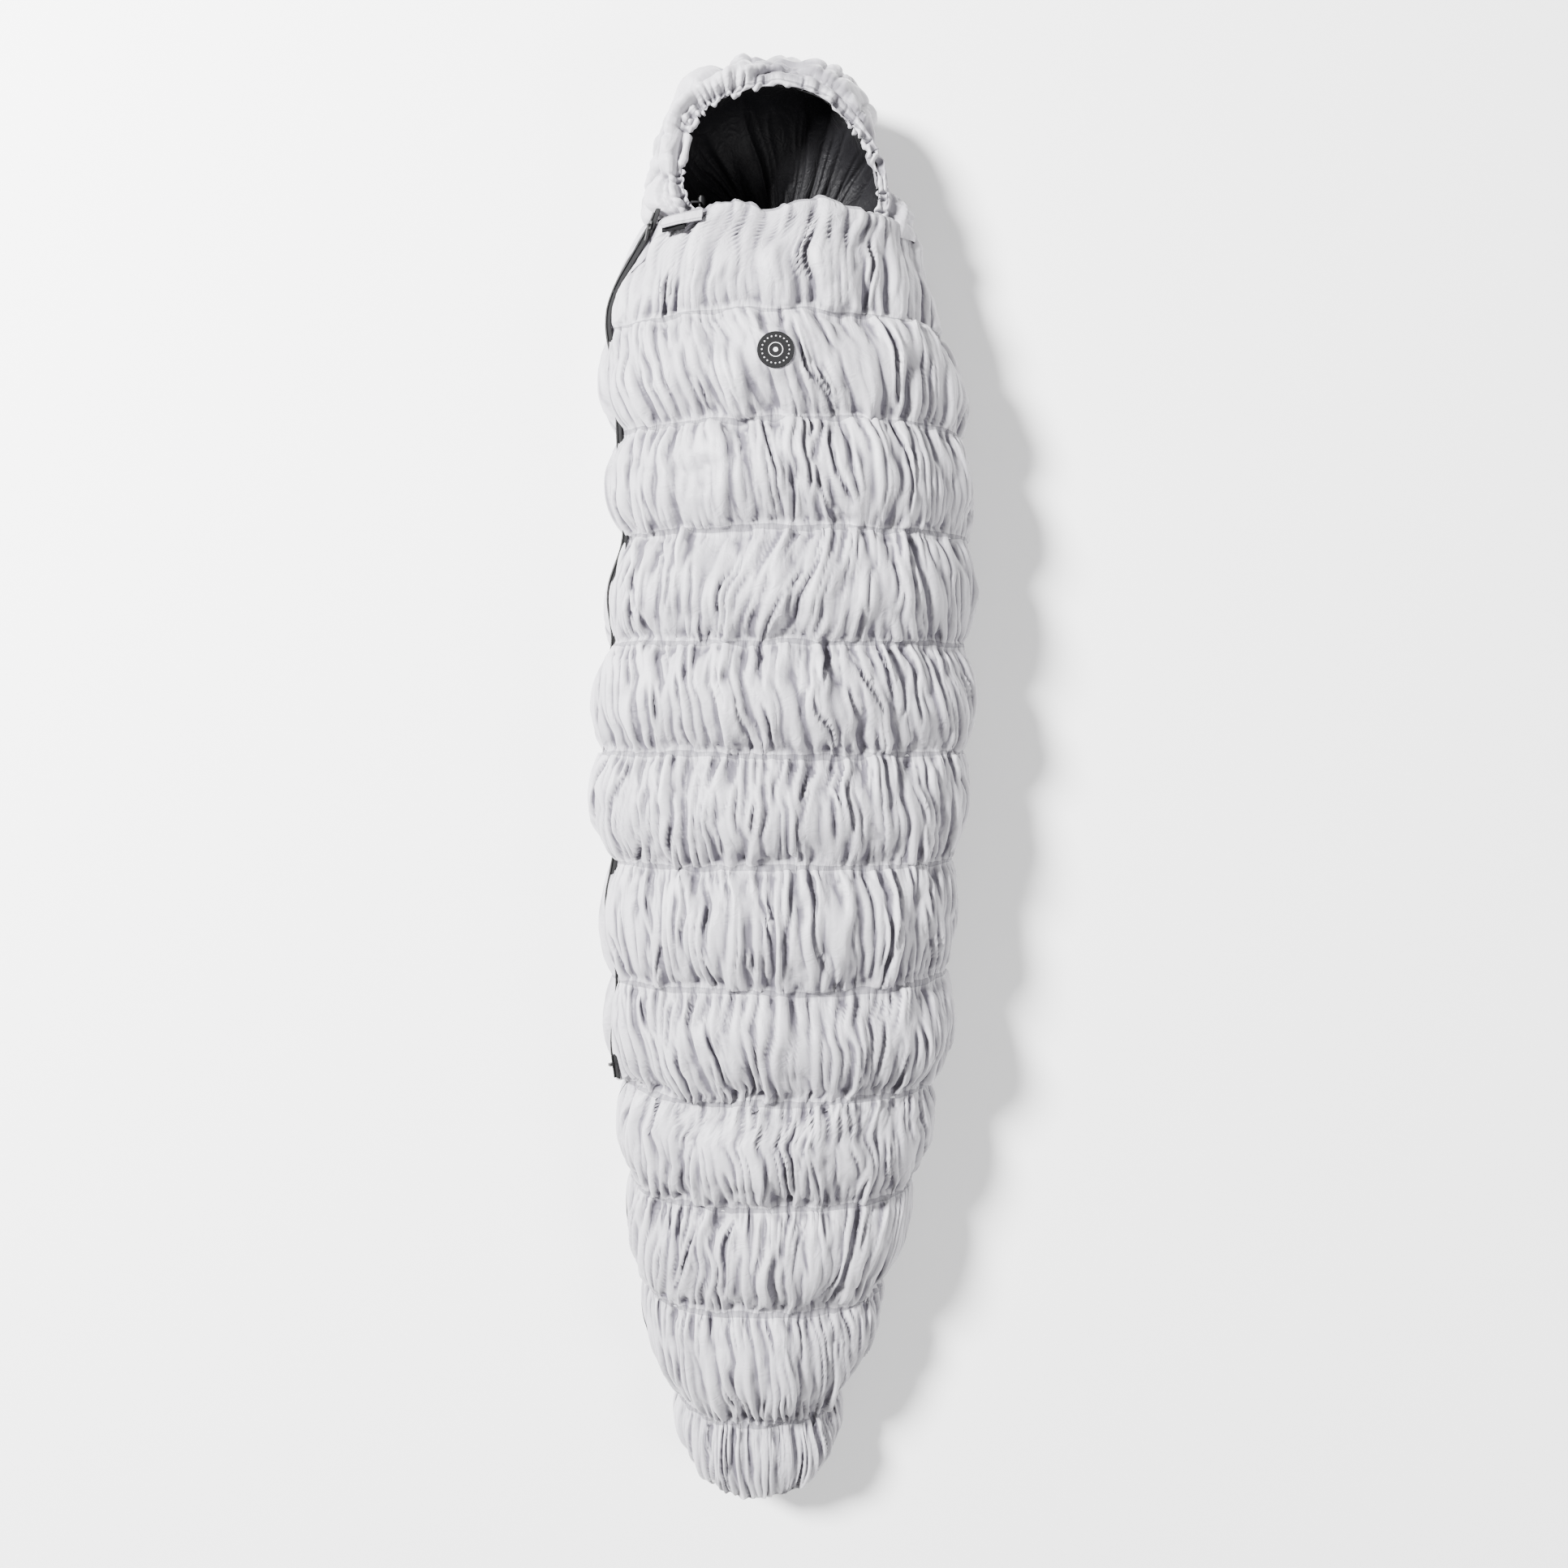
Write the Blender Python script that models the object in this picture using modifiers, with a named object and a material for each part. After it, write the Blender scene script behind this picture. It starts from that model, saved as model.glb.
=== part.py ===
"""Mummy sleeping bag, lying on its back: a padded tube of twelve channels between elastic seams, with a
hood, a foot panel and a side zip. The cover can be peeled back along a diagonal fold once the zip is open.

Frame: +Z up, +Y towards the hood, -X the zip side, origin at the bottom centre. Metres.
"""

import math
from functools import lru_cache

import bmesh
import bpy
from mathutils import Matrix, Vector

# ---- driving dimensions -------------------------------------------------------------------------------
LENGTH = 2.113
TOE_Y = -LENGTH / 2

# Sections of the puffed outside: distance from the toe, centre line, half width, height of the crown.
SECTIONS = (
    (0.028, -0.036, 0.062, 0.094),
    (0.090, -0.037, 0.118, 0.128),
    (0.240, -0.029, 0.177, 0.166),
    (0.403, -0.020, 0.207, 0.192),
    (0.560, -0.008, 0.236, 0.208),
    (0.717, -0.006, 0.256, 0.222),
    (0.880, -0.006, 0.264, 0.232),
    (1.035, -0.006, 0.275, 0.238),
    (1.188, -0.002, 0.279, 0.240),
    (1.336, 0.007, 0.272, 0.240),
    (1.485, 0.007, 0.270, 0.240),
    (1.640, -0.002, 0.267, 0.238),
    (1.770, -0.016, 0.244, 0.224),
    (1.822, -0.010, 0.225, 0.214),
    (1.856, -0.004, 0.204, 0.206),
    (1.893, -0.012, 0.184, 0.202),
    (1.940, -0.024, 0.173, 0.200),
    (1.986, -0.027, 0.162, 0.196),
    (2.033, -0.020, 0.145, 0.184),
    (2.060, -0.018, 0.126, 0.166),
    (2.086, -0.014, 0.088, 0.130),
)
# Elastic seams, from the neck to the foot, as distances from the toe.
SEAMS = (1.715, 1.562, 1.407, 1.265, 1.110, 0.959, 0.801, 0.632, 0.479, 0.327, 0.152)
NECK = 1.855  # the cover's top edge
FOOT_START = 0.030  # where the foot panel closes the tube
HOOD_END = 2.084  # where the crown panel closes the hood

SIDE_SHARE = 0.40  # the widest level, as a share of the crown's height
TOP_LOFT = 0.038
SIDE_LOFT = 0.026
BOTTOM_LOFT = 0.030
HOOD_TOP_LOFT = 0.017
HOOD_SIDE_LOFT = 0.019
SEAM_LOFT = 0.0056  # what is left of the loft under an elastic seam
RIM_LOFT = 0.006
FABRIC = 0.001
LAYER_GAP = 0.0008
BAND_HALF_WIDTH = 0.003
BAND_DEPTHS = (0.0018, 0.0038)
FILL_ROWS = (0.06, 0.30, 0.70, 0.94)  # shares of a channel, between its two seams

# The zip is one arc up the left side, through these three points, its lower end first.
ZIP_POINTS = ((-0.247, -0.405, 0.112), (-0.264, 0.190, 0.118), (-0.184, 0.787, 0.147))
ZIP_LEAN = math.radians(48)  # from the arc's axis towards its centre
TAPE_WIDTH = 0.0125
TAPE_THICKNESS = 0.0008
COIL_GAP = 0.002
COIL_WIDTH = 0.0024
COIL_THICKNESS = 0.0045
DRAFT_RADIUS = 0.011
ZIP_CLEAR = 0.0175  # from the zip's middle to the padded edges on both sides

# The cover's fold line on plan, from the neck to the zip's foot, and the height of its axis.
FOLD_TOP = (0.118, 1.855)
FOLD_FOOT = (-0.262, 0.500)
FOLD_HEIGHT = 0.247
FOLD_GAP = math.radians(0.4)
COVER_GAP = 0.003  # between the cover's neck edge and the hood

FACE_CENTRE = -0.004
FACE_HALF_WIDTH = 0.136
FACE_LENGTH = 0.174
HEM_RADIUS = 0.0042
CORD_RADIUS = 0.0016
BADGE_RADIUS = 0.025
BADGE_PLACE = (-0.011, 1.640)

TOP_COLUMNS = 6
RIGHT_COLUMNS = 2
BASE_COLUMNS = 4
LEFT_COLUMNS = 2
AROUND_BAG = TOP_COLUMNS + RIGHT_COLUMNS + BASE_COLUMNS + LEFT_COLUMNS
AROUND_FLAP = 6
AROUND_HOOD = 14


def clear_scene():
    for obj in list(bpy.data.objects):
        bpy.data.objects.remove(obj, do_unlink=True)


clear_scene()
bag = bpy.data.collections.new("sleeping_bag")
cutters = bpy.data.collections.new("cutters")
for collection in (bag, cutters):
    bpy.context.scene.collection.children.link(collection)


# ---- materials ----------------------------------------------------------------------------------------
def material(name, colour, roughness, metallic=0.0):
    made = bpy.data.materials.new(name)
    made.use_nodes = True
    shader = made.node_tree.nodes["Principled BSDF"]
    shader.inputs["Base Color"].default_value = (*colour, 1)
    shader.inputs["Roughness"].default_value = roughness
    shader.inputs["Metallic"].default_value = metallic
    return made


SHELL = material("grey_shell_fabric", (0.66, 0.65, 0.68), 0.55)
LINING = material("black_lining_fabric", (0.012, 0.012, 0.014), 0.45)
FILL = material("white_fibre_fill", (0.88, 0.88, 0.86), 0.95)
ELASTIC = material("grey_elastic", (0.55, 0.55, 0.57), 0.8)
TAPE = material("black_zip_tape", (0.015, 0.015, 0.016), 0.7)
COIL = material("black_nylon_coil", (0.01, 0.01, 0.011), 0.35)
METAL = material("black_metal", (0.03, 0.03, 0.032), 0.3, 1.0)
PLASTIC = material("black_plastic", (0.012, 0.012, 0.013), 0.4)
RUBBER = material("black_rubber", (0.014, 0.014, 0.015), 0.6)
HOOK = material("black_hook_tape", (0.01, 0.01, 0.01), 0.85)


# ---- the bag's surface --------------------------------------------------------------------------------
def smooth(distance, column):
    """A curve through one column of SECTIONS, with the slope at each point taken from its neighbours."""
    rows = SECTIONS
    distance = min(max(distance, rows[0][0]), rows[-1][0])
    i = max(k for k in range(len(rows) - 1) if rows[k][0] <= distance)

    def slope(k):
        low, high = max(k - 1, 0), min(k + 1, len(rows) - 1)
        return (rows[high][column] - rows[low][column]) / (rows[high][0] - rows[low][0])

    span = rows[i + 1][0] - rows[i][0]
    s = (distance - rows[i][0]) / span
    start, end = rows[i][column], rows[i + 1][column]
    return (
        start * (1 + 2 * s) * (1 - s) ** 2
        + end * s * s * (3 - 2 * s)
        + span * (slope(i) * s * (1 - s) ** 2 - slope(i + 1) * s * s * (1 - s))
    )


def in_hood(distance):
    return distance > NECK


def middle_loft(angle, distance):
    """The loft halfway between two seams, at an angle round the section: 0 right, 90 degrees top."""
    up = math.sin(angle)
    side = HOOD_SIDE_LOFT if in_hood(distance) else SIDE_LOFT
    top = HOOD_TOP_LOFT if in_hood(distance) else TOP_LOFT
    if up >= 0:
        return side + (top - side) * up
    return side + (BOTTOM_LOFT - side) * min(1.0, -up * 1.35)


def puff(share):
    """How full a channel is, from 0 at a seam to 1 over its flat middle."""
    return min(1.0, 1.15 * max(0.0, math.sin(math.pi * share)) ** 0.6)


def channel_share(distance):
    edges = (NECK, *SEAMS, FOOT_START)
    for high, low in zip(edges, edges[1:]):
        if low <= distance <= high:
            return (distance - low) / (high - low)
    return 0.0


def loft(angle, distance):
    if in_hood(distance):
        share = (distance - NECK) / (HOOD_END - NECK)
        fullness = min(1.0, puff(share) * 1.2)
    else:
        fullness = puff(channel_share(distance))
    return SEAM_LOFT + (middle_loft(angle, distance) - SEAM_LOFT) * fullness


def lining_point(angle, distance):
    """A point of the inner face, with x and z only."""
    centre, half, crown = (smooth(distance, k) for k in (1, 2, 3))
    side_level = SIDE_SHARE * crown
    inner_half = half - (HOOD_SIDE_LOFT if in_hood(distance) else SIDE_LOFT)
    inner_top = crown - (HOOD_TOP_LOFT if in_hood(distance) else TOP_LOFT)
    up = math.sin(angle)
    x = centre + inner_half * math.cos(angle)
    if up >= 0:
        return x, side_level + (inner_top - side_level) * up
    return x, side_level - (side_level - BOTTOM_LOFT) * min(1.0, -up * 1.35) ** 0.8


def surface(angle, distance, depth):
    """The point at a depth outside the inner face, measured along the section's own normal."""
    step = 1e-4
    x0, z0 = lining_point(angle - step, distance)
    x1, z1 = lining_point(angle + step, distance)
    size = math.hypot(x1 - x0, z1 - z0)
    x, z = lining_point(angle, distance)
    return Vector((x + depth * (z1 - z0) / size, distance + TOE_Y, z - depth * (x1 - x0) / size))


def outside(angle, distance):
    return surface(angle, distance, loft(angle, distance))


def nearest_angle(target, distance, low, high, steps=240):
    """The angle whose cut through the padding passes nearest a point of the same section."""
    def gap(angle):
        inner = surface(angle, distance, 0)
        normal = (surface(angle, distance, 0.01) - inner).normalized()
        offset = target - inner
        return (offset - normal * offset.dot(normal)).length

    angles = [low + (high - low) * k / steps for k in range(steps + 1)]
    return min(angles, key=gap)


# ---- the zip's line -----------------------------------------------------------------------------------
def circle_through(first, middle, last):
    """Centre, radius and unit axis of the circle through three points, axis upwards."""
    one, two = middle - first, last - first
    axis = one.cross(two)
    size = axis.length_squared
    to_centre = (axis.cross(one) * two.length_squared + two.cross(axis) * one.length_squared) / (2 * size)
    axis.normalize()
    return first + to_centre, to_centre.length, axis if axis.z > 0 else -axis


ZIP_LOW, ZIP_MIDDLE, ZIP_TOP = (Vector(p) for p in ZIP_POINTS)
ZIP_CENTRE, ZIP_RADIUS, ZIP_AXIS = circle_through(ZIP_LOW, ZIP_MIDDLE, ZIP_TOP)
ZIP_SWEEP = (ZIP_LOW - ZIP_CENTRE).angle(ZIP_TOP - ZIP_CENTRE)
ZIP_RUN = ZIP_SWEEP * ZIP_RADIUS


def zip_frame(run):
    """Point, direction of travel, cross direction and outward direction, at a run from the low end."""
    out_from_centre = Matrix.Rotation(-run / ZIP_RADIUS, 3, ZIP_AXIS) @ (ZIP_LOW - ZIP_CENTRE)
    point = ZIP_CENTRE + out_from_centre
    inward = -out_from_centre.normalized()
    across = ZIP_AXIS * math.cos(ZIP_LEAN) + inward * math.sin(ZIP_LEAN)
    travel = out_from_centre.cross(ZIP_AXIS).normalized()
    return point, travel, across, across.cross(travel).normalized()


def zip_frame_at(distance):
    """The zip's frame where it crosses a section."""
    y = min(max(distance + TOE_Y, ZIP_LOW.y), ZIP_TOP.y)
    low, high = 0.0, ZIP_RUN
    for _ in range(40):
        middle = (low + high) / 2
        if zip_frame(middle)[0].y < y:
            low = middle
        else:
            high = middle
    return zip_frame(low)


# ---- where each piece starts and ends round a section -------------------------------------------------
FULL_TURN = 2 * math.pi
SEAM_SLIT = math.radians(0.12)
ZIP_FOOT = SEAMS[7] + 0.0035  # below this the left side is sewn shut


def angle_at(x, distance, half):
    return math.acos(max(-1.0, min(1.0, (x - smooth(distance, 1)) / half)))


def fold_angle(distance):
    """Where the fold line crosses the cover."""
    share = (distance - FOLD_FOOT[1]) / (FOLD_TOP[1] - FOLD_FOOT[1])
    x = FOLD_FOOT[0] + (FOLD_TOP[0] - FOLD_FOOT[0]) * share
    return angle_at(x, distance, smooth(distance, 2) - SIDE_LOFT / 2)


@lru_cache(maxsize=None)
def zip_edge_angle(distance, side):
    """Where the padded edge on one side of the zip runs: side 1 is the cover's, -1 the base's."""
    point, _, across, _ = zip_frame_at(distance)
    target = point + across * ZIP_CLEAR * side
    target.y = distance + TOE_Y
    return nearest_angle(target, distance, math.radians(95), math.radians(215))


def bag_start(distance):
    """The fixed part's end on the cover side: the fold, or the left seam below the zip."""
    if distance < ZIP_FOOT:
        return math.pi - SEAM_SLIT
    return fold_angle(distance) - FOLD_GAP


def bag_end(distance):
    """The fixed part's end below the zip, a turn later than the cover's."""
    if distance < ZIP_FOOT:
        return -math.pi + SEAM_SLIT
    return zip_edge_angle(distance, -1) - FULL_TURN


def flap_angle(u, distance):
    start, end = zip_edge_angle(distance, 1), fold_angle(distance) + FOLD_GAP
    return start + (end - start) * u


def bag_angle(u, distance):
    """Round the fixed part: the cover side down to the right seam, then the underside."""
    share = TOP_COLUMNS / AROUND_BAG
    if u <= share:
        return bag_start(distance) * (1 - u / share)
    return bag_end(distance) * (u - share) / (1 - share)


def panel_angle(first, last):
    """The angles of a panel of the shell that covers only some of the columns round the bag."""
    def angle_of(u, distance):
        start, end = (bag_angle(k / AROUND_BAG, distance) for k in (first, last))
        angle = bag_angle((first + (last - first) * u) / AROUND_BAG, distance)
        slit = SEAM_SLIT / 2
        return min(angle, start - slit) if u < 0.5 else max(angle, end + slit)

    return angle_of


def face_reach(distance):
    """Half the width of the face opening at a section, 0 where the hood is closed."""
    share = (distance - NECK) / FACE_LENGTH
    return FACE_HALF_WIDTH * math.sqrt(max(0.0, 1 - share * share))


def hood_angle(u, distance):
    """Round the hood from the right edge of the face opening, under the head, to the left edge."""
    half = smooth(distance, 2) - HOOD_SIDE_LOFT + RIM_LOFT / 2
    reach = face_reach(distance)
    start = angle_at(FACE_CENTRE + reach + 0.0045, distance, half) - SEAM_SLIT
    end = angle_at(FACE_CENTRE - reach - 0.0045, distance, half) + SEAM_SLIT - FULL_TURN
    if reach == 0:
        start, end = math.pi / 2 - SEAM_SLIT, math.pi / 2 + SEAM_SLIT - FULL_TURN
    return start + (end - start) * u


# ---- shape makers -------------------------------------------------------------------------------------
def add_object(name, mesh, look, collection=bag):
    obj = bpy.data.objects.new(name, mesh)
    collection.objects.link(obj)
    obj.data.materials.append(look)
    return obj


def finish_mesh(name, bm, look, collection=bag, smooth_angle=35):
    bmesh.ops.recalc_face_normals(bm, faces=bm.faces)
    if bm.calc_volume(signed=True) < 0:
        bmesh.ops.reverse_faces(bm, faces=bm.faces)
    mesh = bpy.data.meshes.new(name)
    bm.to_mesh(mesh)
    bm.free()
    mesh.shade_smooth()
    mesh.set_sharp_from_angle(angle=math.radians(smooth_angle))
    return add_object(name, mesh, look, collection)


def block(name, look, columns, rows, place):
    """A padded sheet: a grid of columns by rows, thickened into a closed block, then laid by place().

    place(u, row, side) gives a point; u runs from 0 to 1, side is 0 inside and 1 outside.
    """
    bm = bmesh.new()
    steps = len(rows) - 1
    bmesh.ops.create_grid(bm, x_segments=columns, y_segments=steps, size=0.5)
    bmesh.ops.triangulate(bm, faces=bm.faces, quad_method="FIXED")
    lower = list(bm.verts)
    extruded = bmesh.ops.extrude_face_region(bm, geom=bm.faces[:])["geom"]
    upper = {v for v in extruded if isinstance(v, bmesh.types.BMVert)}
    for vert in [*lower, *upper]:
        u, row = vert.co.x + 0.5, round((vert.co.y + 0.5) * steps)
        vert.co = place(u, rows[row], 1 if vert in upper else 0)
    return finish_mesh(name, bm, look)


def sheet(name, look, columns, rows, angle_of, depths):
    """A block laid round the sections between two depths in the padding."""
    def place(u, distance, side):
        angle = angle_of(u, distance)
        return surface(angle, distance, depths(angle, distance)[side])

    return block(name, look, columns, rows, place)


def shell_depths(angle, distance):
    full = loft(angle, distance)
    return full - FABRIC, full


def lining_depths(angle, distance):
    return 0.0, FABRIC


def fill_depths(angle, distance):
    return FABRIC + LAYER_GAP, loft(angle, distance) - FABRIC - LAYER_GAP


def band_depths(angle, distance):
    return BAND_DEPTHS


def channel_rows(number):
    """The rows of one channel's filling; channel 1 is at the neck."""
    edges = (NECK, *SEAMS, FOOT_START)
    high, low = edges[number - 1], edges[number]
    return [low + (high - low) * share for share in FILL_ROWS]


def panel_rows(last, with_seams=True):
    """Every row from channel last up to the neck, with or without the seams between them."""
    edges = (NECK, *SEAMS, FOOT_START)
    rows = [edges[last]]
    for number in range(last, 0, -1):
        rows += channel_rows(number)
        if with_seams or number in (1, 9):
            rows.append(edges[number - 1])
        if number == 9:
            rows.append(ZIP_FOOT - 0.0002)
    return rows


def tube(name, look, points, radius, sides=2):
    curve = bpy.data.curves.new(name, "CURVE")
    curve.dimensions = "3D"
    curve.bevel_depth = radius
    curve.bevel_resolution = sides
    curve.use_fill_caps = True
    spline = curve.splines.new("POLY")
    spline.points.add(len(points) - 1)
    for spot, point in zip(spline.points, points):
        spot.co = (*point, 1)
    return add_object(name, curve, look)


def ribbon(name, look, runs, low, high, half_thickness):
    """A strip along the zip, from low to high across it and even on both sides of its plane."""
    def place(u, run, side):
        point, _, across, out = zip_frame(run)
        return point + across * (low + (high - low) * u) + out * half_thickness * (2 * side - 1)

    return block(name, look, 1, runs, place)


def axes_at(point, x_axis, y_axis, z_axis):
    turned = Matrix((x_axis, y_axis, z_axis)).transposed().to_4x4()
    return Matrix.Translation(point) @ turned


def box(name, look, size, place, bevel=0.0, collection=bag):
    bm = bmesh.new()
    bmesh.ops.create_cube(bm, size=1)
    bmesh.ops.scale(bm, vec=size, verts=bm.verts)
    obj = finish_mesh(name, bm, look, collection)
    obj.matrix_world = place
    if bevel:
        edge = obj.modifiers.new("Rounded edges", "BEVEL")
        edge.width = bevel
        edge.segments = 2
    return obj


def cylinder(name, look, radius, length, place, sides=32, collection=bag):
    bm = bmesh.new()
    bmesh.ops.create_cone(
        bm, cap_ends=True, segments=sides, radius1=radius, radius2=radius, depth=length
    )
    obj = finish_mesh(name, bm, look, collection)
    obj.matrix_world = place
    return obj


def boolean(obj, other, operation):
    step = obj.modifiers.new(operation.title(), "BOOLEAN")
    step.operation = operation
    step.solver = "EXACT"
    step.object = other
    other.hide_render = True
    other.display_type = "WIRE"


# ---- padded tube --------------------------------------------------------------------------------------
def make_bag():
    rows = panel_rows(12)
    edge = 0
    for name, columns in (
        ("outer_top_panel", TOP_COLUMNS + RIGHT_COLUMNS),
        ("outer_base_panel", BASE_COLUMNS),
        ("outer_left_panel", LEFT_COLUMNS),
    ):
        sheet(name, SHELL, columns, rows, panel_angle(edge, edge + columns), shell_depths)
        edge += columns
    sheet("inner_lining", LINING, AROUND_BAG, panel_rows(12, False), bag_angle, lining_depths)
    for number in range(1, 13):
        name = f"channel_fill_{number:02d}"
        sheet(name, FILL, AROUND_BAG, channel_rows(number), bag_angle, fill_depths)
    for number, seam in enumerate(SEAMS, 1):
        edges = (seam - BAND_HALF_WIDTH, seam + BAND_HALF_WIDTH)
        sheet(f"elastic_band_{number:02d}", ELASTIC, AROUND_BAG, edges, bag_angle, band_depths)


def end_cap(name, distance, reach, look):
    """A padded oval that closes the tube, domed away from it by reach."""
    centre, half, crown = (smooth(distance, k) for k in (1, 2, 3))
    bm = bmesh.new()
    bmesh.ops.create_uvsphere(bm, u_segments=20, v_segments=10, radius=1)
    away = 1 if reach > 0 else -1
    bmesh.ops.bisect_plane(
        bm,
        geom=[*bm.verts, *bm.edges, *bm.faces],
        plane_co=(0, 0, 0),
        plane_no=(0, -away, 0),
        clear_outer=True,
    )
    bmesh.ops.holes_fill(bm, edges=[e for e in bm.edges if e.is_boundary])
    bmesh.ops.scale(bm, vec=(half * 0.94, abs(reach), crown / 2 - 0.006), verts=bm.verts)
    obj = finish_mesh(name, bm, look, smooth_angle=60)
    obj.location = (centre, distance + TOE_Y, crown / 2 + 0.002)
    return obj


def make_flap():
    top = NECK - COVER_GAP
    sheet("flap_shell", SHELL, AROUND_FLAP, [*panel_rows(8)[1:-1], top], flap_angle, shell_depths)
    sheet("flap_lining", LINING, AROUND_FLAP, [*panel_rows(8, False)[1:-1], top], flap_angle, lining_depths)
    for number in range(1, 9):
        sheet(f"flap_fill_{number:02d}", FILL, AROUND_FLAP, channel_rows(number), flap_angle, fill_depths)


# ---- hood ---------------------------------------------------------------------------------------------
HOOD_ROWS = (NECK + 0.0006, 1.872, 1.895, 1.925, 1.955, 1.985, 2.007, 2.022, 2.031, 2.058, HOOD_END)


def hood_loft(angle, distance):
    """The padding thins towards the edge of the face opening."""
    start, end = hood_angle(0, distance), hood_angle(1, distance)
    share = (angle - end) / (start - end)
    return RIM_LOFT + (loft(angle, distance) - RIM_LOFT) * min(1.0, min(share, 1 - share) / 0.1)


def hood_shell_depths(angle, distance):
    full = hood_loft(angle, distance)
    return full - FABRIC, full


def hood_fill_depths(angle, distance):
    return FABRIC + LAYER_GAP, hood_loft(angle, distance) - FABRIC - LAYER_GAP


def rim_point(turn):
    """The line of the face opening: turn 0 is its right end at the neck, 1 its left end."""
    angle = math.pi * turn
    distance = NECK + 0.012 + (FACE_LENGTH - 0.018) * math.sin(angle)
    x = FACE_CENTRE + (FACE_HALF_WIDTH - 0.0035) * math.cos(angle)
    half = smooth(distance, 2) - HOOD_SIDE_LOFT + RIM_LOFT / 2
    return surface(angle_at(x, distance, half), distance, RIM_LOFT / 2)


def rim_frame(turn):
    """Point, direction into the opening and outward direction of the rim."""
    point = rim_point(turn)
    along = (rim_point(min(turn + 0.01, 1)) - rim_point(max(turn - 0.01, 0))).normalized()
    middle = rim_point(0.5) * 0.2 + rim_point(0) * 0.4 + rim_point(1) * 0.4
    inward = middle - point
    inward = (inward - along * inward.dot(along)).normalized()
    return point, inward, along.cross(inward)


def make_hood():
    sheet("hood_shell", SHELL, AROUND_HOOD, HOOD_ROWS, hood_angle, hood_shell_depths)
    sheet("hood_fill", FILL, AROUND_HOOD, HOOD_ROWS, hood_angle, hood_fill_depths)
    sheet("hood_lining", LINING, AROUND_HOOD, HOOD_ROWS, hood_angle, lining_depths)

    def place(u, turn, side):
        point, inward, up = rim_frame(turn)
        angle = math.radians(140) * (2 * u - 1)
        radius = HEM_RADIUS - 0.0008 * (1 - side)
        return point + inward * radius * math.cos(angle) + up * radius * math.sin(angle)

    block("hood_hem", SHELL, 6, [k / 26 for k in range(27)], place)


# ---- drawcord and its lock ----------------------------------------------------------------------------
LOCK_DROP = 0.018  # from the hem's end down to the lock's middle
LOCK_INSET = 0.020  # from the rim into the opening
TAIL_LENGTH = 0.066
BARREL_RADIUS = 0.0062
BARREL_LENGTH = 0.016
BORE_RADIUS = 0.0046
PLUNGER_RADIUS = 0.0044
PLUNGER_LENGTH = 0.015


def make_drawcord():
    end = rim_point(1) + Vector((0, -0.003, 0))
    hang = end + Vector((LOCK_INSET, 0.004, 0))
    inside = [rim_point(0.008 + 0.984 * k / 30) for k in range(31)]
    bend = [end + Vector((0.004, -0.0005, 0)), hang + Vector((-0.003, 0, 0)), hang + Vector((0, 0, -0.003))]
    tube("hood_drawcord", PLASTIC, [*inside, end, *bend, hang + Vector((0, 0, -TAIL_LENGTH))], CORD_RADIUS)

    # The barrel lies level, its mouth towards the head, and the cord runs down through it.
    middle = hang + Vector((0, 0.003, -LOCK_DROP))
    level = axes_at(middle, Vector((1, 0, 0)), Vector((0, 0, -1)), Vector((0, 1, 0)))
    cord_line = Matrix.Translation(middle - Vector((0, 0.003, 0)))
    body = cylinder("cord_lock_body", PLASTIC, BARREL_RADIUS, BARREL_LENGTH, level)
    bore = cylinder(
        "lock_bore", PLASTIC, BORE_RADIUS, BARREL_LENGTH, level @ Matrix.Translation((0, 0, 0.0018)),
        collection=cutters,
    )
    hole = cylinder("lock_hole", PLASTIC, CORD_RADIUS + 0.0006, 0.03, cord_line, 24, cutters)
    boolean(body, bore, "DIFFERENCE")
    boolean(body, hole, "DIFFERENCE")

    stem = level @ Matrix.Translation((0, 0, 0.0037))
    plunger = cylinder("cord_lock_plunger", PLASTIC, PLUNGER_RADIUS, PLUNGER_LENGTH, stem)
    slot = box("plunger_slot", PLASTIC, (0.0042, 0.0066, 0.03), cord_line @ Matrix.Translation((0, 0.001, 0)),
               collection=cutters)
    boolean(plunger, slot, "DIFFERENCE")


# ---- zip ----------------------------------------------------------------------------------------------
SLIDER_LENGTH = 0.011
SLIDER_TOP = ZIP_RUN - 0.0055  # the slider's middle when the zip is closed
SLIDER_LOW = 0.0125  # and when it is fully open
COIL_NEAR, COIL_FAR = COIL_GAP / 2, COIL_GAP / 2 + COIL_WIDTH
TAPE_NEAR = COIL_FAR + 0.0003
TAPE_FAR = TAPE_NEAR + TAPE_WIDTH


def even_runs(low, high, count):
    return [low + (high - low) * k / count for k in range(count + 1)]


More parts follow.
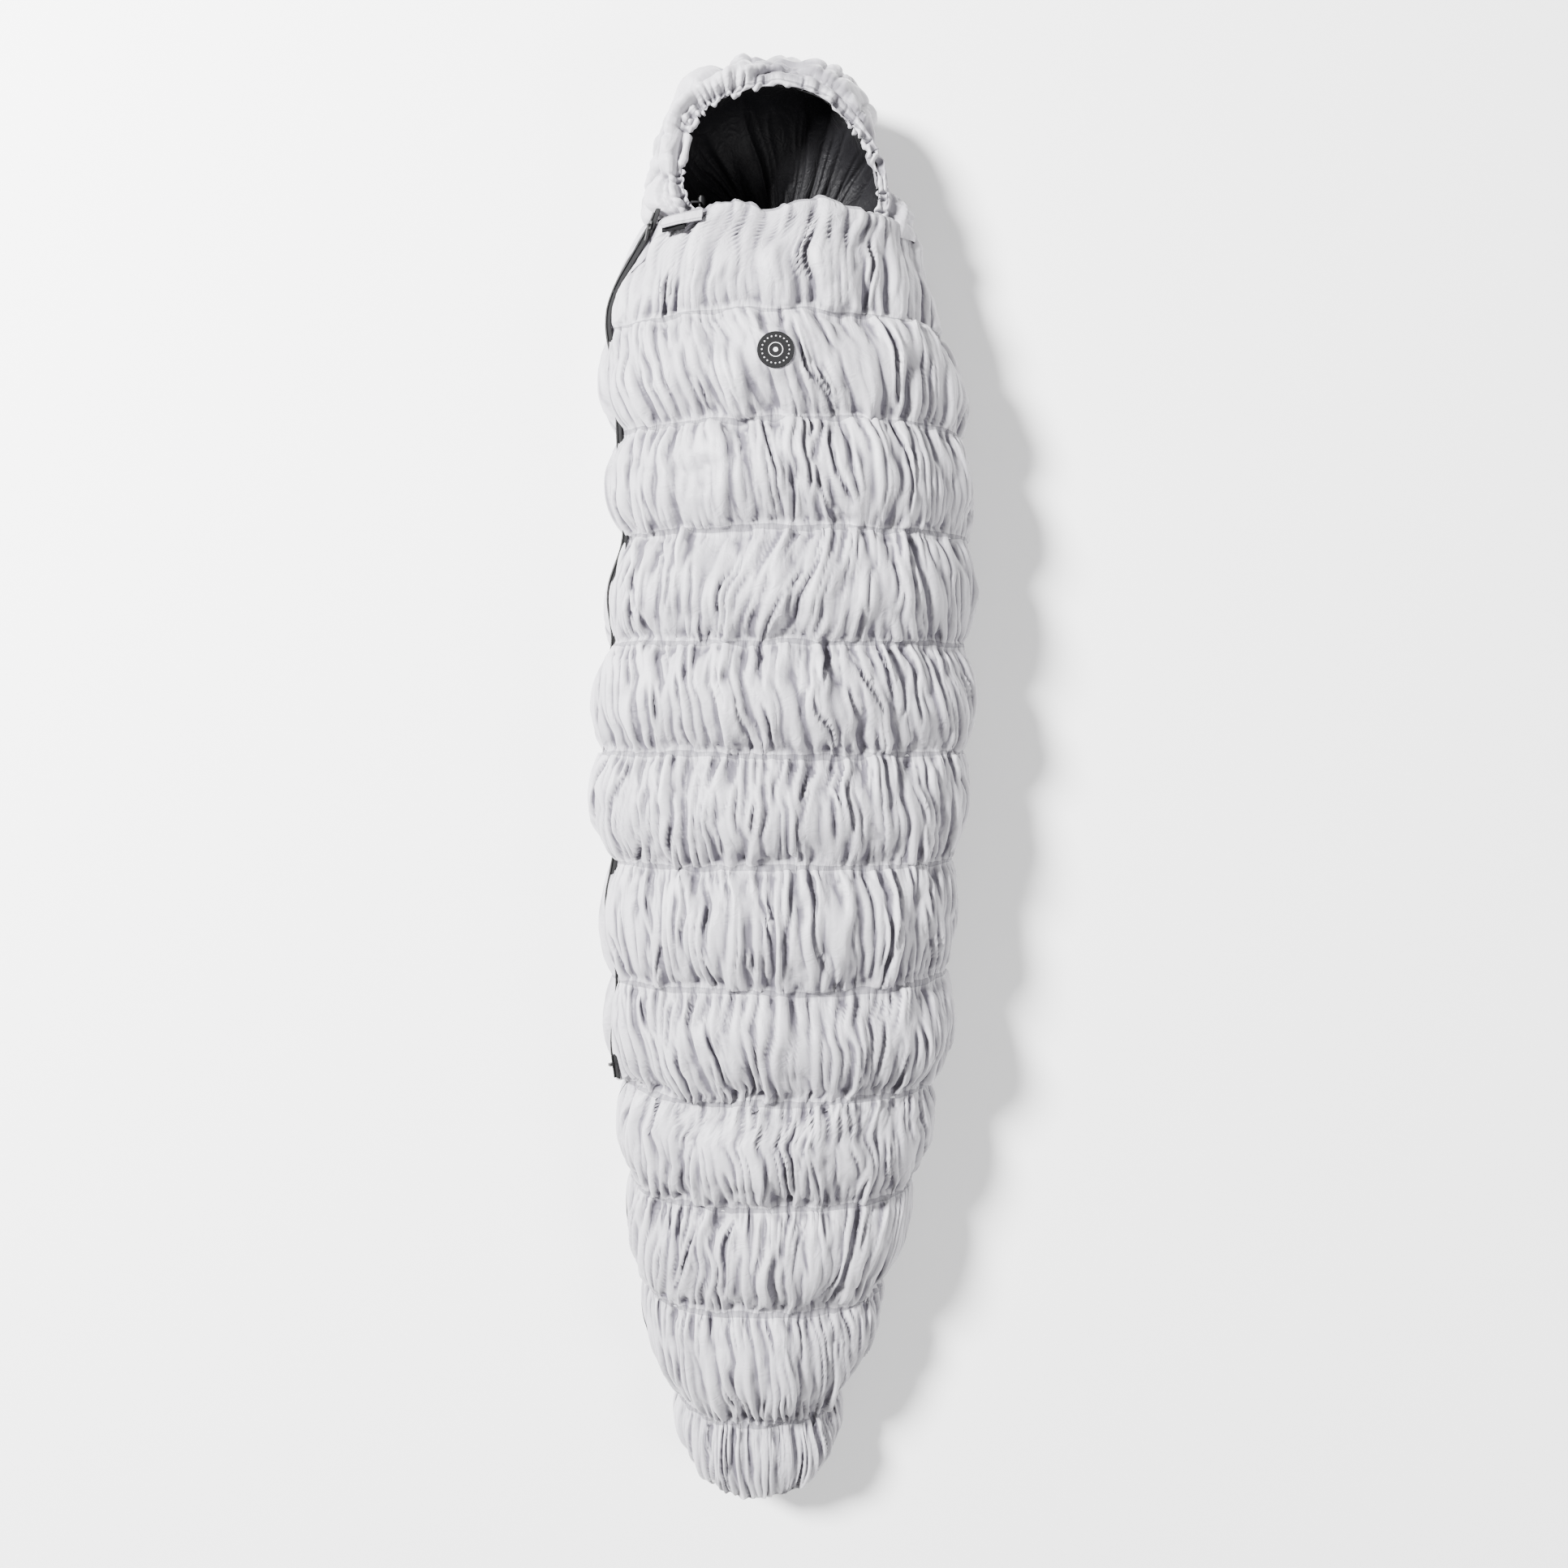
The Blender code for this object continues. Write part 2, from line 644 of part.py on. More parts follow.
def make_zip():
    base_runs = even_runs(0.003, ZIP_RUN, 24)
    flap_runs = even_runs(SLIDER_LOW + SLIDER_LENGTH / 2 + 0.001, SLIDER_TOP - SLIDER_LENGTH / 2 - 0.001, 24)
    thick = COIL_THICKNESS / 2
    ribbon("zip_coil_base", COIL, base_runs, -COIL_FAR, -COIL_NEAR, thick)
    ribbon("zip_coil_flap", COIL, flap_runs, COIL_NEAR, COIL_FAR, thick)
    ribbon("zip_tape_base", TAPE, base_runs, -TAPE_FAR, -TAPE_NEAR, TAPE_THICKNESS / 2)
    ribbon("zip_tape_flap", TAPE, flap_runs, TAPE_NEAR, TAPE_FAR, TAPE_THICKNESS / 2)
    ribbon("zip_bottom_stop", METAL, (-0.0015, 0.0026), -COIL_FAR, COIL_FAR, 0.003)
    ribbon("zip_top_stop", METAL, (ZIP_RUN + 0.0004, ZIP_RUN + 0.0036), -COIL_FAR, -COIL_NEAR, 0.0028)

    point, travel, across, out = zip_frame(SLIDER_TOP)
    at_slider = axes_at(point, across, travel, out)
    plate = (2 * COIL_FAR + 0.0016, SLIDER_LENGTH, 0.0012)
    level = COIL_THICKNESS / 2 + 0.0003 + plate[2] / 2
    slider = box("zip_slider", METAL, plate, at_slider @ Matrix.Translation((0, 0, level)), 0.0003)
    parts = [
        box("slider_under", METAL, plate, at_slider @ Matrix.Translation((0, 0, -level)), 0.0003, cutters),
        box("slider_web", METAL, (0.0013, SLIDER_LENGTH - 0.002, 2 * level), at_slider, 0.0, cutters),
    ]
    for side in (-1, 1):
        lug = Matrix.Translation((side * 0.0028, 0, level + 0.0020))
        parts.append(box(f"slider_lug_{side}", METAL, (0.0012, 0.0030, 0.0036), at_slider @ lug, 0, cutters))
    pin = at_slider @ Matrix.Translation((0, 0, level + 0.0029)) @ Matrix.Rotation(math.pi / 2, 4, "Y")
    parts.append(cylinder("slider_pin", METAL, 0.0006, 0.0056, pin, 16, cutters))
    for other in parts:
        boolean(slider, other, "UNION")

    # The pull hangs from the pin by an eye and lies back along the zip.
    pull_place = at_slider @ Matrix.Translation((0, 0, level + 0.0029))
    pull = box("zip_pull", METAL, (0.0036, 0.024, 0.0014), pull_place @ Matrix.Translation((0, -0.0104, 0)),
               0.0003)
    eye_bar = cylinder("pull_boss", METAL, 0.0017, 0.0036, pin, 24, cutters)
    boolean(pull, eye_bar, "UNION")
    boolean(pull, cylinder("pull_eye", METAL, 0.0009, 0.02, pin, 24, cutters), "DIFFERENCE")
    return pull_place


def make_draft_tube():
    """The padded roll that backs the zip on the inside, sewn to the base."""
    points = []
    for run in even_runs(0.02, ZIP_RUN - 0.03, 22):
        point = zip_frame(run)[0]
        distance = point.y - TOE_Y
        angle = nearest_angle(point, distance, math.radians(95), math.radians(215))
        inner = surface(angle, distance, 0)
        normal = (surface(angle, distance, 0.01) - inner).normalized()
        height = (point - inner).dot(normal)
        points.append(inner + normal * (min(height, 0.002) - DRAFT_RADIUS - 0.0075))
    tube("draft_tube", LINING, points, DRAFT_RADIUS, 3)


# ---- small pieces on the cover ------------------------------------------------------------------------
TAB_RIGHT, TAB_LEFT = -0.113, -0.176
TAB_ROWS = (1.826, 1.835, 1.844, 1.852)


def make_tab():
    half = smooth(1.84, 2) - SIDE_LOFT / 2

    def layer(name, look, rows, right, left, low, high):
        def place(u, distance, side):
            x = right + (left - right) * u
            angle = angle_at(x, 1.84, half)
            return surface(angle, distance, loft(angle, distance) + (low, high)[side])

        return block(name, look, 10, rows, place)

    layer("neck_tab", SHELL, TAB_ROWS, TAB_RIGHT, TAB_LEFT, 0.0036, 0.0052)
    layer("tab_hook_strip", HOOK, TAB_ROWS[:3], TAB_LEFT + 0.032, TAB_LEFT + 0.010, 0.0017, 0.0033)


def make_badge():
    x, distance = BADGE_PLACE
    angle = angle_at(x, distance, smooth(distance, 2) - SIDE_LOFT / 2)
    spot = outside(angle, distance)
    along = (outside(angle, distance + 0.02) - outside(angle, distance - 0.02)).normalized()
    around = (outside(angle - 0.1, distance) - outside(angle + 0.1, distance)).normalized()
    up = around.cross(along).normalized()
    place = axes_at(spot + up * 0.0013, along.cross(up), along, up)
    badge = cylinder("badge", RUBBER, BADGE_RADIUS, 0.0016, place, 40)
    edge = badge.modifiers.new("Rounded edges", "BEVEL")
    edge.width = 0.0005
    edge.segments = 2


make_bag()
end_cap("foot_panel", FOOT_START - 0.0005, -(FOOT_START - 0.0005), FILL)
make_flap()
make_hood()
end_cap("hood_crown_panel", HOOD_END + 0.0005, LENGTH - HOOD_END - 0.0005, FILL)
make_drawcord()
make_zip()
make_draft_tube()
make_tab()
make_badge()
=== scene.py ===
import math
import time

import bmesh
import bpy
import numpy as np
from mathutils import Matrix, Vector


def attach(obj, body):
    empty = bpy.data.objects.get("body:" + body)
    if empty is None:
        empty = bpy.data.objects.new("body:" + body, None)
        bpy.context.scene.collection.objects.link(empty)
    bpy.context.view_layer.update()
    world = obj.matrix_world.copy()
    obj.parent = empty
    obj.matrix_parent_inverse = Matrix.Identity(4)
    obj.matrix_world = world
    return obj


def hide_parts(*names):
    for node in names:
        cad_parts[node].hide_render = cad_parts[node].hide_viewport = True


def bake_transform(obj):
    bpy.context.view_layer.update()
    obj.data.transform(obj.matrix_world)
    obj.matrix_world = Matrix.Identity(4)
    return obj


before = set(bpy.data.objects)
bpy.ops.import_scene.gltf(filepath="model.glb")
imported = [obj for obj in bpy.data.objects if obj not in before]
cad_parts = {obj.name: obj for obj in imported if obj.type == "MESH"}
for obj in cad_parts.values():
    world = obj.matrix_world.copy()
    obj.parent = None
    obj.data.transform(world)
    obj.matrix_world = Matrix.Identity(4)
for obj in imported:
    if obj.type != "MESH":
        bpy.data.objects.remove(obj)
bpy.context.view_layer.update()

scene = bpy.context.scene
startTime = time.time()


def say(text):
    print(f"{time.time() - startTime:6.1f} s  {text}")


# A grid whose points are given as rows x columns x 3. Its cloth map is in metres.
def clothMesh(name, points, mat=None, uv=None, flip=False, values=None):
    rows, cols = points.shape[:2]
    bm = bmesh.new()
    bmesh.ops.create_grid(bm, x_segments=cols - 1, y_segments=rows - 1, size=1)
    mesh = bpy.data.meshes.new(name)
    bm.to_mesh(mesh)
    bm.free()
    flat = np.empty(rows * cols * 3, np.float32)
    mesh.vertices.foreach_get("co", flat)
    flat = flat.reshape(-1, 3)
    across = np.rint((flat[:, 0] + 1) / 2 * (cols - 1)).astype(int)
    down = np.rint((flat[:, 1] + 1) / 2 * (rows - 1)).astype(int)
    mesh.vertices.foreach_set("co", points[down, across].astype(np.float32).reshape(-1))
    corners = np.empty(len(mesh.loops), np.int32)
    mesh.loops.foreach_get("vertex_index", corners)
    if uv is not None:
        layer = mesh.uv_layers.new(name="cloth")
        layer.data.foreach_set("uv", uv[down, across][corners].astype(np.float32).reshape(-1))
    for key, table in (values or {}).items():
        attribute = mesh.attributes.new(key, "FLOAT", "POINT")
        attribute.data.foreach_set("value", table[down, across].astype(np.float32).reshape(-1))
    if flip:
        mesh.flip_normals()
    mesh.shade_smooth()
    mesh.update()
    if mat:
        mesh.materials.append(mat)
    obj = bpy.data.objects.new(name, mesh)
    scene.collection.objects.link(obj)
    return obj


def thicken(obj, thickness):
    solid = obj.modifiers.new("Thickness", "SOLIDIFY")
    solid.thickness = thickness
    solid.offset = 0
    return obj


def meshFromBm(name, bm, mat):
    bmesh.ops.recalc_face_normals(bm, faces=bm.faces)
    mesh = bpy.data.meshes.new(name)
    bm.to_mesh(mesh)
    bm.free()
    mesh.shade_smooth()
    mesh.materials.append(mat)
    obj = bpy.data.objects.new(name, mesh)
    scene.collection.objects.link(obj)
    return obj


# Random smooth bumps from -1 to 1, with a size along u and a size along v.
def smoothNoise(u, v, sizeU, sizeV, seed):
    rng = np.random.RandomState(seed)
    table = rng.uniform(-1, 1, (257, 257))
    a, b = np.broadcast_arrays(np.asarray(u, float) / sizeU, np.asarray(v, float) / sizeV)
    i, j = np.floor(a).astype(int), np.floor(b).astype(int)
    fa, fb = a - i, b - j
    fa, fb = fa * fa * fa * (fa * (6 * fa - 15) + 10), fb * fb * fb * (fb * (6 * fb - 15) + 10)

    def at(x, y):
        return table[x % 257, y % 257]

    low = at(i, j) * (1 - fa) + at(i + 1, j) * fa
    high = at(i, j + 1) * (1 - fa) + at(i + 1, j + 1) * fa
    return low * (1 - fb) + high * fb


# Round ridges with sharp valleys between them, from -1 in the valleys to about 0.6 on the ridges.
def valleys(u, v, sizeU, sizeV, seed):
    return np.abs(smoothNoise(u, v, sizeU, sizeV, seed)) ** 0.8 * 1.6 - 1


# Normals of a grid of points.
def outwards(points):
    normal = np.cross(np.gradient(points, axis=0), np.gradient(points, axis=1))
    return normal / np.maximum(np.linalg.norm(normal, axis=2, keepdims=True), 1e-9)


floorGap = 0.0006  # nothing goes lower than this above the floor, in metres
bag = {
    "loftTop": 0.033,  # how far the padding stands above the seams
    "loftBottom": 0.022,
    "foldSize": 1.25,
    "topColumns": 330,
    "underColumns": 100,
    "rowsPerChannel": 24,
    "neckRoll": 0.010,
    "waist": 0.113,  # seams above this y bow up in the middle, and seams below it down
    "seamBow": 0.030,
    "seamWander": 0.0022,
    "foldOver": 0.12,  # width of the soft fold that the opened cover turns over
    "relaxFrames": 10,
    "relaxPressure": 1.5,
    "relaxReach": 0.010,  # no point moves further than this as the cloth settles
}

# Seams from the neck to the foot: y, left edge, right edge, crown height.
seams = np.array([
    (0.800, -0.200, 0.186, 0.172),
    (0.650, -0.252, 0.228, 0.200),
    (0.500, -0.236, 0.256, 0.206),
    (0.350, -0.228, 0.266, 0.208),
    (0.195, -0.254, 0.262, 0.208),
    (0.040, -0.264, 0.260, 0.208),
    (-0.115, -0.248, 0.244, 0.203),
    (-0.285, -0.250, 0.233, 0.196),
    (-0.442, -0.232, 0.217, 0.184),
    (-0.593, -0.224, 0.190, 0.168),
    (-0.750, -0.204, 0.148, 0.147),
    (-0.922, -0.156, 0.082, 0.112),
])
# How far each channel stands out beyond its seams, left and right.
puffs = np.array([
    (0.022, 0.012), (0.025, 0.022), (0.030, 0.020), (0.022, 0.016), (0.024, 0.018), (0.026, 0.017),
    (0.020, 0.018), (0.022, 0.024), (0.016, 0.022), (0.014, 0.020), (0.022, 0.026),
])
toeX, toeY, toeZ = -0.037, -1.052, 0.052
sidePart = 0.42  # height of the widest place, as a part of the crown height


# The outline at the level of the seams. Angle 0 is the right side and 90 degrees the top.
def levelOutline(y, angle):
    left, right, crown = (np.interp(-y, -seams[:, 0], seams[:, k]) for k in (1, 2, 3))
    middle, half = (left + right) / 2, (right - left) / 2
    side = sidePart * crown

    def height(s):
        under = np.minimum(1, np.maximum(0, -s * 1.3)) ** 0.8
        over = side + (crown - side) * np.abs(s)
        return np.where(s >= 0, over, side - (side - bag["loftBottom"]) * under)

    step = 1e-3
    dx = half * (np.cos(angle + step) - np.cos(angle - step))
    dz = height(np.sin(angle + step)) - height(np.sin(angle - step))
    size = np.hypot(dx, dz)
    return middle + half * np.cos(angle), height(np.sin(angle)), dz / size, -dx / size


def sideLoft(channel, angle):
    c, s = np.cos(angle), np.sin(angle)
    side = np.where(c < 0, puffs[channel, 0], puffs[channel, 1])
    return side * c * c + np.where(s >= 0, bag["loftTop"], bag["loftBottom"]) * s * s


# The zip's line up the left side, from its foot to the neck: y, x, z.
zipLine = np.array([
    (-0.425, -0.240, 0.109), (-0.385, -0.249, 0.107), (-0.330, -0.244, 0.101), (-0.285, -0.239, 0.100),
    (-0.230, -0.247, 0.100), (-0.175, -0.259, 0.100), (-0.115, -0.246, 0.100), (-0.070, -0.242, 0.100),
    (-0.010, -0.273, 0.100), (0.040, -0.254, 0.100), (0.118, -0.272, 0.101), (0.195, -0.244, 0.101),
    (0.272, -0.256, 0.102), (0.350, -0.228, 0.103), (0.425, -0.236, 0.103), (0.510, -0.240, 0.105),
    (0.575, -0.240, 0.106), (0.655, -0.258, 0.103), (0.700, -0.249, 0.106), (0.750, -0.216, 0.121),
    (0.790, -0.184, 0.148), (0.806, -0.176, 0.150),
])
zipFoot = seams[8, 0] + 0.012


def softInterp(x, xs, ys):
    total = 0
    for shift in (-0.022, -0.011, 0, 0.011, 0.022):
        total = total + 0.2 * np.interp(x + shift, xs, ys)
    return total


def zipPoint(y):
    return softInterp(y, zipLine[:, 0], zipLine[:, 1]), softInterp(y, zipLine[:, 0], zipLine[:, 2])


# The angle of the zip, or of the left seam below it.
def leftAngle(y):
    z = zipPoint(y)[1]
    crown = np.interp(-y, -seams[:, 0], seams[:, 3])
    side = sidePart * crown
    up = np.arcsin(np.clip((z - side) / (crown - side), -0.3, 0.9))
    return math.pi - up * np.clip((y - zipFoot + 0.06) / 0.06, 0, 1)


channelWidth = 0.175
folds = {  # one value for each channel, then sizes in metres
    "coarse": (1.25, 1.2, 1.0, 0.9, 0.85, 0.8, 0.75, 0.75, 0.8, 0.8, 0.9, 0.7),
    "medium": (0.8, 0.9, 1.0, 1.0, 1.1, 1.2, 1.2, 1.2, 1.1, 1.0, 1.0, 0.9),
    "fine": (0.45, 0.75, 0.9, 1, 1, 1, 1, 1, 1, 1, 1, 1),
    "slant": (0.2, 0.2, 0.3, 0.35, 0.3, 0.25, 0.2, 0.2, 0.2, 0.25, 0.3, 0.2),
    "creases": (6, 8, 11, 12, 14, 15, 15, 15, 15, 13, 11, 6),
    "coarseHeight": 0.0062,
    "mediumHeight": 0.0050,
    "gatherHeight": 0.0034,
    "smallHeight": 0.0030,
    "creaseDepths": (0.0025, 0.0062),
    "creaseWidth": 0.0026,
    "deepest": 0.0064,
}


# How far along the seam a fold lies once its slant and its sway are taken off.
def straighten(channel, around, along, width):
    seed = 40 + channel * 7
    slant = folds["slant"][channel] * smoothNoise(around, 0, 0.22, 1, seed)
    sway = 0.006 * smoothNoise(around, along, 0.05, 0.05, seed + 1)
    return seed, around + slant * (along - width / 2) + sway


# Folds that a sparse grid can hold, in metres above the padding. along runs from the upper seam down.
def wideFolds(channel, around, along, width):
    seed, lean = straighten(channel, around, along, width)
    edge = np.minimum(along, width - along)
    rise = np.clip(edge / 0.004, 0.3, 1)
    coarse = valleys(lean, along, 0.040, 0.15, seed + 2) * (0.6 + 0.4 * np.exp(-edge / 0.04))
    upper = valleys(lean, along, 0.019, 0.09, seed + 3) * np.exp(-along / 0.050)
    lower = valleys(lean, along, 0.019, 0.09, seed + 4) * np.exp(-(width - along) / 0.050)
    through = valleys(lean, along, 0.021, 0.20, seed + 5) * 0.6
    coarse = coarse * folds["coarseHeight"] * folds["coarse"][channel]
    medium = (upper + lower + through) * folds["mediumHeight"] * folds["medium"][channel]
    return (coarse + medium) * rise * bag["foldSize"]


# Gathers at the seams and a few sharp creases, added once the cloth has settled.
def fineFolds(channel, around, along, width):
    seed, lean = straighten(channel, around, along, width)
    edge = np.minimum(along, width - along)
    share = along / width
    gathers = valleys(lean, along, 0.0105, 0.030, seed + 6) * np.exp(-edge / 0.026) * folds["gatherHeight"]
    small = valleys(lean, along, 0.0115, 0.11, seed + 8) * folds["smallHeight"]
    height = (gathers + small) * folds["fine"][channel]
    rng = np.random.RandomState(seed + 9)
    for _ in range(folds["creases"][channel] * 2):
        centre = rng.uniform(-0.34, 0.34)
        bend, start = rng.uniform(-0.10, 0.10), rng.uniform(-0.15, 0.75)
        reach = rng.uniform(0.30, 0.85)
        deep = rng.uniform(*folds["creaseDepths"])
        line = centre + bend * (share - 0.5) * 0.3 + 0.006 * np.sin(share * 5 + centre * 40)
        deep = deep * np.clip(np.minimum(share - start, start + reach - share) / 0.15, 0, 1)
        gap = (lean - line) / folds["creaseWidth"]
        lips = 0.35 * np.exp(-((np.abs(gap) - 2.4) ** 2))
        height = height + deep * (lips - np.exp(-gap * gap))
    return np.maximum(height, -folds["deepest"]) * np.clip(edge / 0.003, 0.35, 1) * bag["foldSize"]


# How far the padding stands out across a channel, from 0 at a seam to 1. The neck's channel starts high.
def puffShape(channel, share):
    def bulge(part):
        return np.minimum(1.0, 1.02 * np.sin(np.pi * np.clip(part, 0, 1)) ** 0.74)

    if channel == 0:
        high = 0.80 + 0.2 * np.sin(np.pi * np.clip(share, 0, 0.4) / 0.8)
        return np.where(share < 0.4, high, bulge((share + 0.25) / 1.25))
    return bulge(share)


nTop, nUnder = bag["topColumns"], bag["underColumns"]
splitAngle = -0.55  # where the cover's shell meets the base's, low on the right side
rollRows = 8  # rows that roll over the neck's edge to the inside


# One entry for each row: channel, share of the channel from its upper seam, y.
def bodyRows():
    rows = [(-1, 1 - j / rollRows, seams[0, 0]) for j in range(rollRows)]
    for k in range(12):
        count = bag["rowsPerChannel"] + (4 if k == 11 else 0)
        for j in range(count + (k == 11)):
            share = j / count
            end, along = toeY, math.sin(share * math.pi / 2)
            if k < 11:
                share = 0.55 * share + 0.45 * (1 - math.cos(math.pi * share)) / 2
                end, along = seams[k + 1, 0], share
            rows.append((k, share, seams[k, 0] + (end - seams[k, 0]) * along))
    return rows


rowList = bodyRows()
rowChannel = np.array([r[0] for r in rowList])
rowShare = np.array([r[1] for r in rowList])
rowY = np.array([r[2] for r in rowList])


def rowAngles(y, top, under):
    left = float(leftAngle(np.array(y)))
    over = np.linspace(left, splitAngle, top + 1)
    return np.concatenate([over, np.linspace(splitAngle, left - 2 * math.pi, under + 1)[1:]])


# The neck's edge dips and rises: x, y.
neckEdge = np.array([
    (-0.18, 0.800), (-0.0818, 0.7954), (-0.0646, 0.800), (-0.0453, 0.797), (-0.0288, 0.7877), (-0.0094, 0.7877),
    (0.0144, 0.7954), (0.0453, 0.802), (0.0697, 0.7954), (0.0984, 0.792), (0.16, 0.795),
])


def neckShift(x):
    return np.interp(x, neckEdge[:, 0], neckEdge[:, 1]) - seams[0, 0]


# Away from the waist a seam's sides lie nearer to the waist than its middle does.
def seamBow(y, angle):
    return -bag["seamBow"] * (y - bag["waist"]) * (1 - np.abs(np.sin(angle))) ** 1.5


def seamWander(number, angle):
    if number < 1 or number > 11:
        return 0 * angle
    return smoothNoise(angle * 0.2, number, 0.035, 1, 21) * bag["seamWander"]


# How far round the bag a point is from the zip, as an angle.
def fromZip(angle):
    return np.minimum(angle[0] - angle, angle - (angle[0] - 2 * math.pi))


# Draws the cloth near both of a row's ends to its place beside the zip.
def sewToZip(row, y, inwards, apart, reachOut):
    zx, zz = zipPoint(y)
    for edge, step, side in ((0, 1, 1), (-1, -1, -1)):
        shift = np.array([zx + inwards, y, zz + apart * side]) - row[edge]
        reach = np.linalg.norm(row[::step] - row[edge], axis=1)
        row[::step] += shift * np.exp(-(reach / reachOut) ** 2)[:, None]


# The padded outline without folds, and the angle at each point.
def smoothBody(top, under):
    points = np.zeros((len(rowList), top + under + 1, 3))
    angles = np.zeros(points.shape[:2])
    for j, (k, share, rowAt) in enumerate(rowList):
        y = rowAt
        angle = rowAngles(y, top, under)
        if k < 11:
            real = max(k, 0)
            x, z, nx, nz = levelOutline(y, angle)
            wave = 1 + 0.16 * smoothNoise(angle, real, 0.5, 1, 5)
            stand = sideLoft(real, angle) * puffShape(real, share if k >= 0 else 0.0) * wave
            if k <= 0:
                dip = np.exp(-((x + 0.021) / 0.022) ** 2) * (nz > 0.3)
                stand = stand - 0.013 * dip * (1 if k < 0 else max(0, 1 - share * 2.2))
            if y > zipFoot:
                stand = stand * np.clip((fromZip(angle) * 0.14 + 0.003) / 0.018, 0, 1) ** 0.5
            shift = neckShift(x) * np.clip(nz, 0, 1)
            if k < 0:
                turn = share * math.pi
                roll = bag["neckRoll"]
                stand = stand - roll * (1 - math.cos(turn)) - 0.006 * share
                y = y + roll * math.sin(turn) - 0.004 * share + shift
            elif k == 0:
                y = y + shift * max(0, 1 - share * 1.6) ** 2
        else:
            x, z, nx, nz = levelOutline(seams[11, 0], angle)
            close = math.cos(share * math.pi / 2) ** 0.72 if share < 1 else 0.0
            x, z = toeX + (x - toeX) * close, toeZ + (z - toeZ) * close
            stand = 0.017 * puffShape(5, min(share * 1.2, 0.5)) * close
        free = np.clip(fromZip(angle) * 2.5, 0, 1) if rowAt > zipFoot else 1
        wander = 0
        if k >= 0:
            wander = seamWander(k, angle) * (1 - share) + seamWander(k + 1, angle) * share
        y = y + (seamBow(rowAt, angle) + wander) * free
        points[j] = np.stack([x + nx * stand, y, np.maximum(z + nz * stand, floorGap)], -1)
        angles[j] = angle
    for j, (k, share, y) in enumerate(rowList):
        if y > zipFoot:
            sewToZip(points[j], y, 0.0006 + (0.016 * share if k < 0 else 0), 0.0042, 0.010)
    return points, angles


# Distance round the bag from the crown at each point, closer together where the bag is narrow.
def clothMap(points, angles):
    middleRow = int(np.argmin(np.abs(rowY - 0.1)))
    steps = np.linalg.norm(np.diff(points, axis=1), axis=2)
    ring = np.concatenate([np.zeros((len(points), 1)), np.cumsum(steps, axis=1)], axis=1)
    crown = np.argmin(np.abs(angles - math.pi / 2), axis=1)
    around = ring - ring[np.arange(len(points)), crown][:, None]
    scale = ring[middleRow, -1] / np.maximum(ring[:, -1], 0.3 * ring[middleRow, -1])
    around = around * (0.5 + 0.5 * scale)[:, None]
    for _ in range(40):
        around[1:-1] = (around[:-2] + 2 * around[1:-1] + around[2:]) / 4
    return around


# Raises the cloth by the folds that makeFolds gives, less near the zip, the neck and the toe.
def addFolds(points, angles, around, makeFolds):
    along = np.clip(rowShare, 0, 1)[:, None] * channelWidth + 0 * around
    height = np.zeros_like(around)
    for k in range(-1, 12):
        rows = rowChannel == k
        down, width = along[rows], channelWidth
        if k < 0:
            down = 0.009 - 0.004 * down / channelWidth
        elif k == 0:
            down = np.maximum(down, 0.009)
        elif k == 11:
            down, width = down * 0.9, channelWidth * 1.5
        height[rows] = makeFolds(max(k, 0), around[rows], down, width)
    height = height * np.clip(1.3 - np.abs(angles - 1.6) / 3.3, 0.4, 1.1)
    height[:rollRows] *= np.linspace(0.15, 0.4, rollRows)[:, None]
    neck = rowChannel == 0
    height[neck] *= np.clip(0.4 + rowShare[neck] * 5, 0, 1)[:, None]
    height[-6:] *= np.linspace(1, 0.1, 6)[:, None]
    toZip = np.minimum(angles[:, :1] - angles, angles - angles[:, -1:])
    height = height * np.clip(toZip / 0.12 + 0.1, 0.1, 1)
    points = points + outwards(points) * height[:, :, None]
    points[:, :, 2] = np.maximum(points[:, :, 2], floorGap)
    return points, height


# The cloth settles for a few frames with its seams held, on every second column.
def settle(points):
    obj = clothMesh("settling", points)
    rows, cols = points.shape[:2]
    held = np.zeros((rows, cols), bool)
    held[:, 0] = held[:, -1] = True
    held[:rollRows] = True
    for k in range(12):
        held[np.argmax(rowChannel == k)] = True
    held[rowChannel == 11] = True
    group = obj.vertex_groups.new(name="held")
    flat = np.empty(rows * cols * 3, np.float32)
    obj.data.vertices.foreach_get("co", flat)
    flat = flat.reshape(-1, 3)
    index = {tuple(np.round(p, 5)): n for n, p in enumerate(flat)}
    order = np.array([index[tuple(np.round(p, 5))] for p in points.reshape(-1, 3).astype(np.float32)])
    group.add(order[held.reshape(-1)].tolist(), 1.0, "REPLACE")
    cloth = obj.modifiers.new("Cloth", "CLOTH")
    cloth.settings.quality = 5
    cloth.settings.mass = 0.15
    cloth.settings.bending_stiffness = 0.6
    cloth.settings.air_damping = 2
    cloth.settings.vertex_group_mass = "held"
    cloth.settings.use_pressure = True
    cloth.settings.uniform_pressure_force = bag["relaxPressure"]
    cloth.settings.effector_weights.gravity = 0
    cloth.collision_settings.use_collision = False
    cloth.point_cache.frame_start = 1
    cloth.point_cache.frame_end = bag["relaxFrames"] + 1
    for step in range(1, bag["relaxFrames"] + 1):
        scene.frame_set(step)
    done = obj.evaluated_get(bpy.context.evaluated_depsgraph_get()).to_mesh()
    done.vertices.foreach_get("co", flat.reshape(-1))
    after = flat[order].reshape(rows, cols, 3).astype(float)
    bpy.data.objects.remove(obj)
    move = after - points
    far = np.linalg.norm(move, axis=2, keepdims=True)
    return points + move * np.minimum(1, bag["relaxReach"] / np.maximum(far, 1e-9))


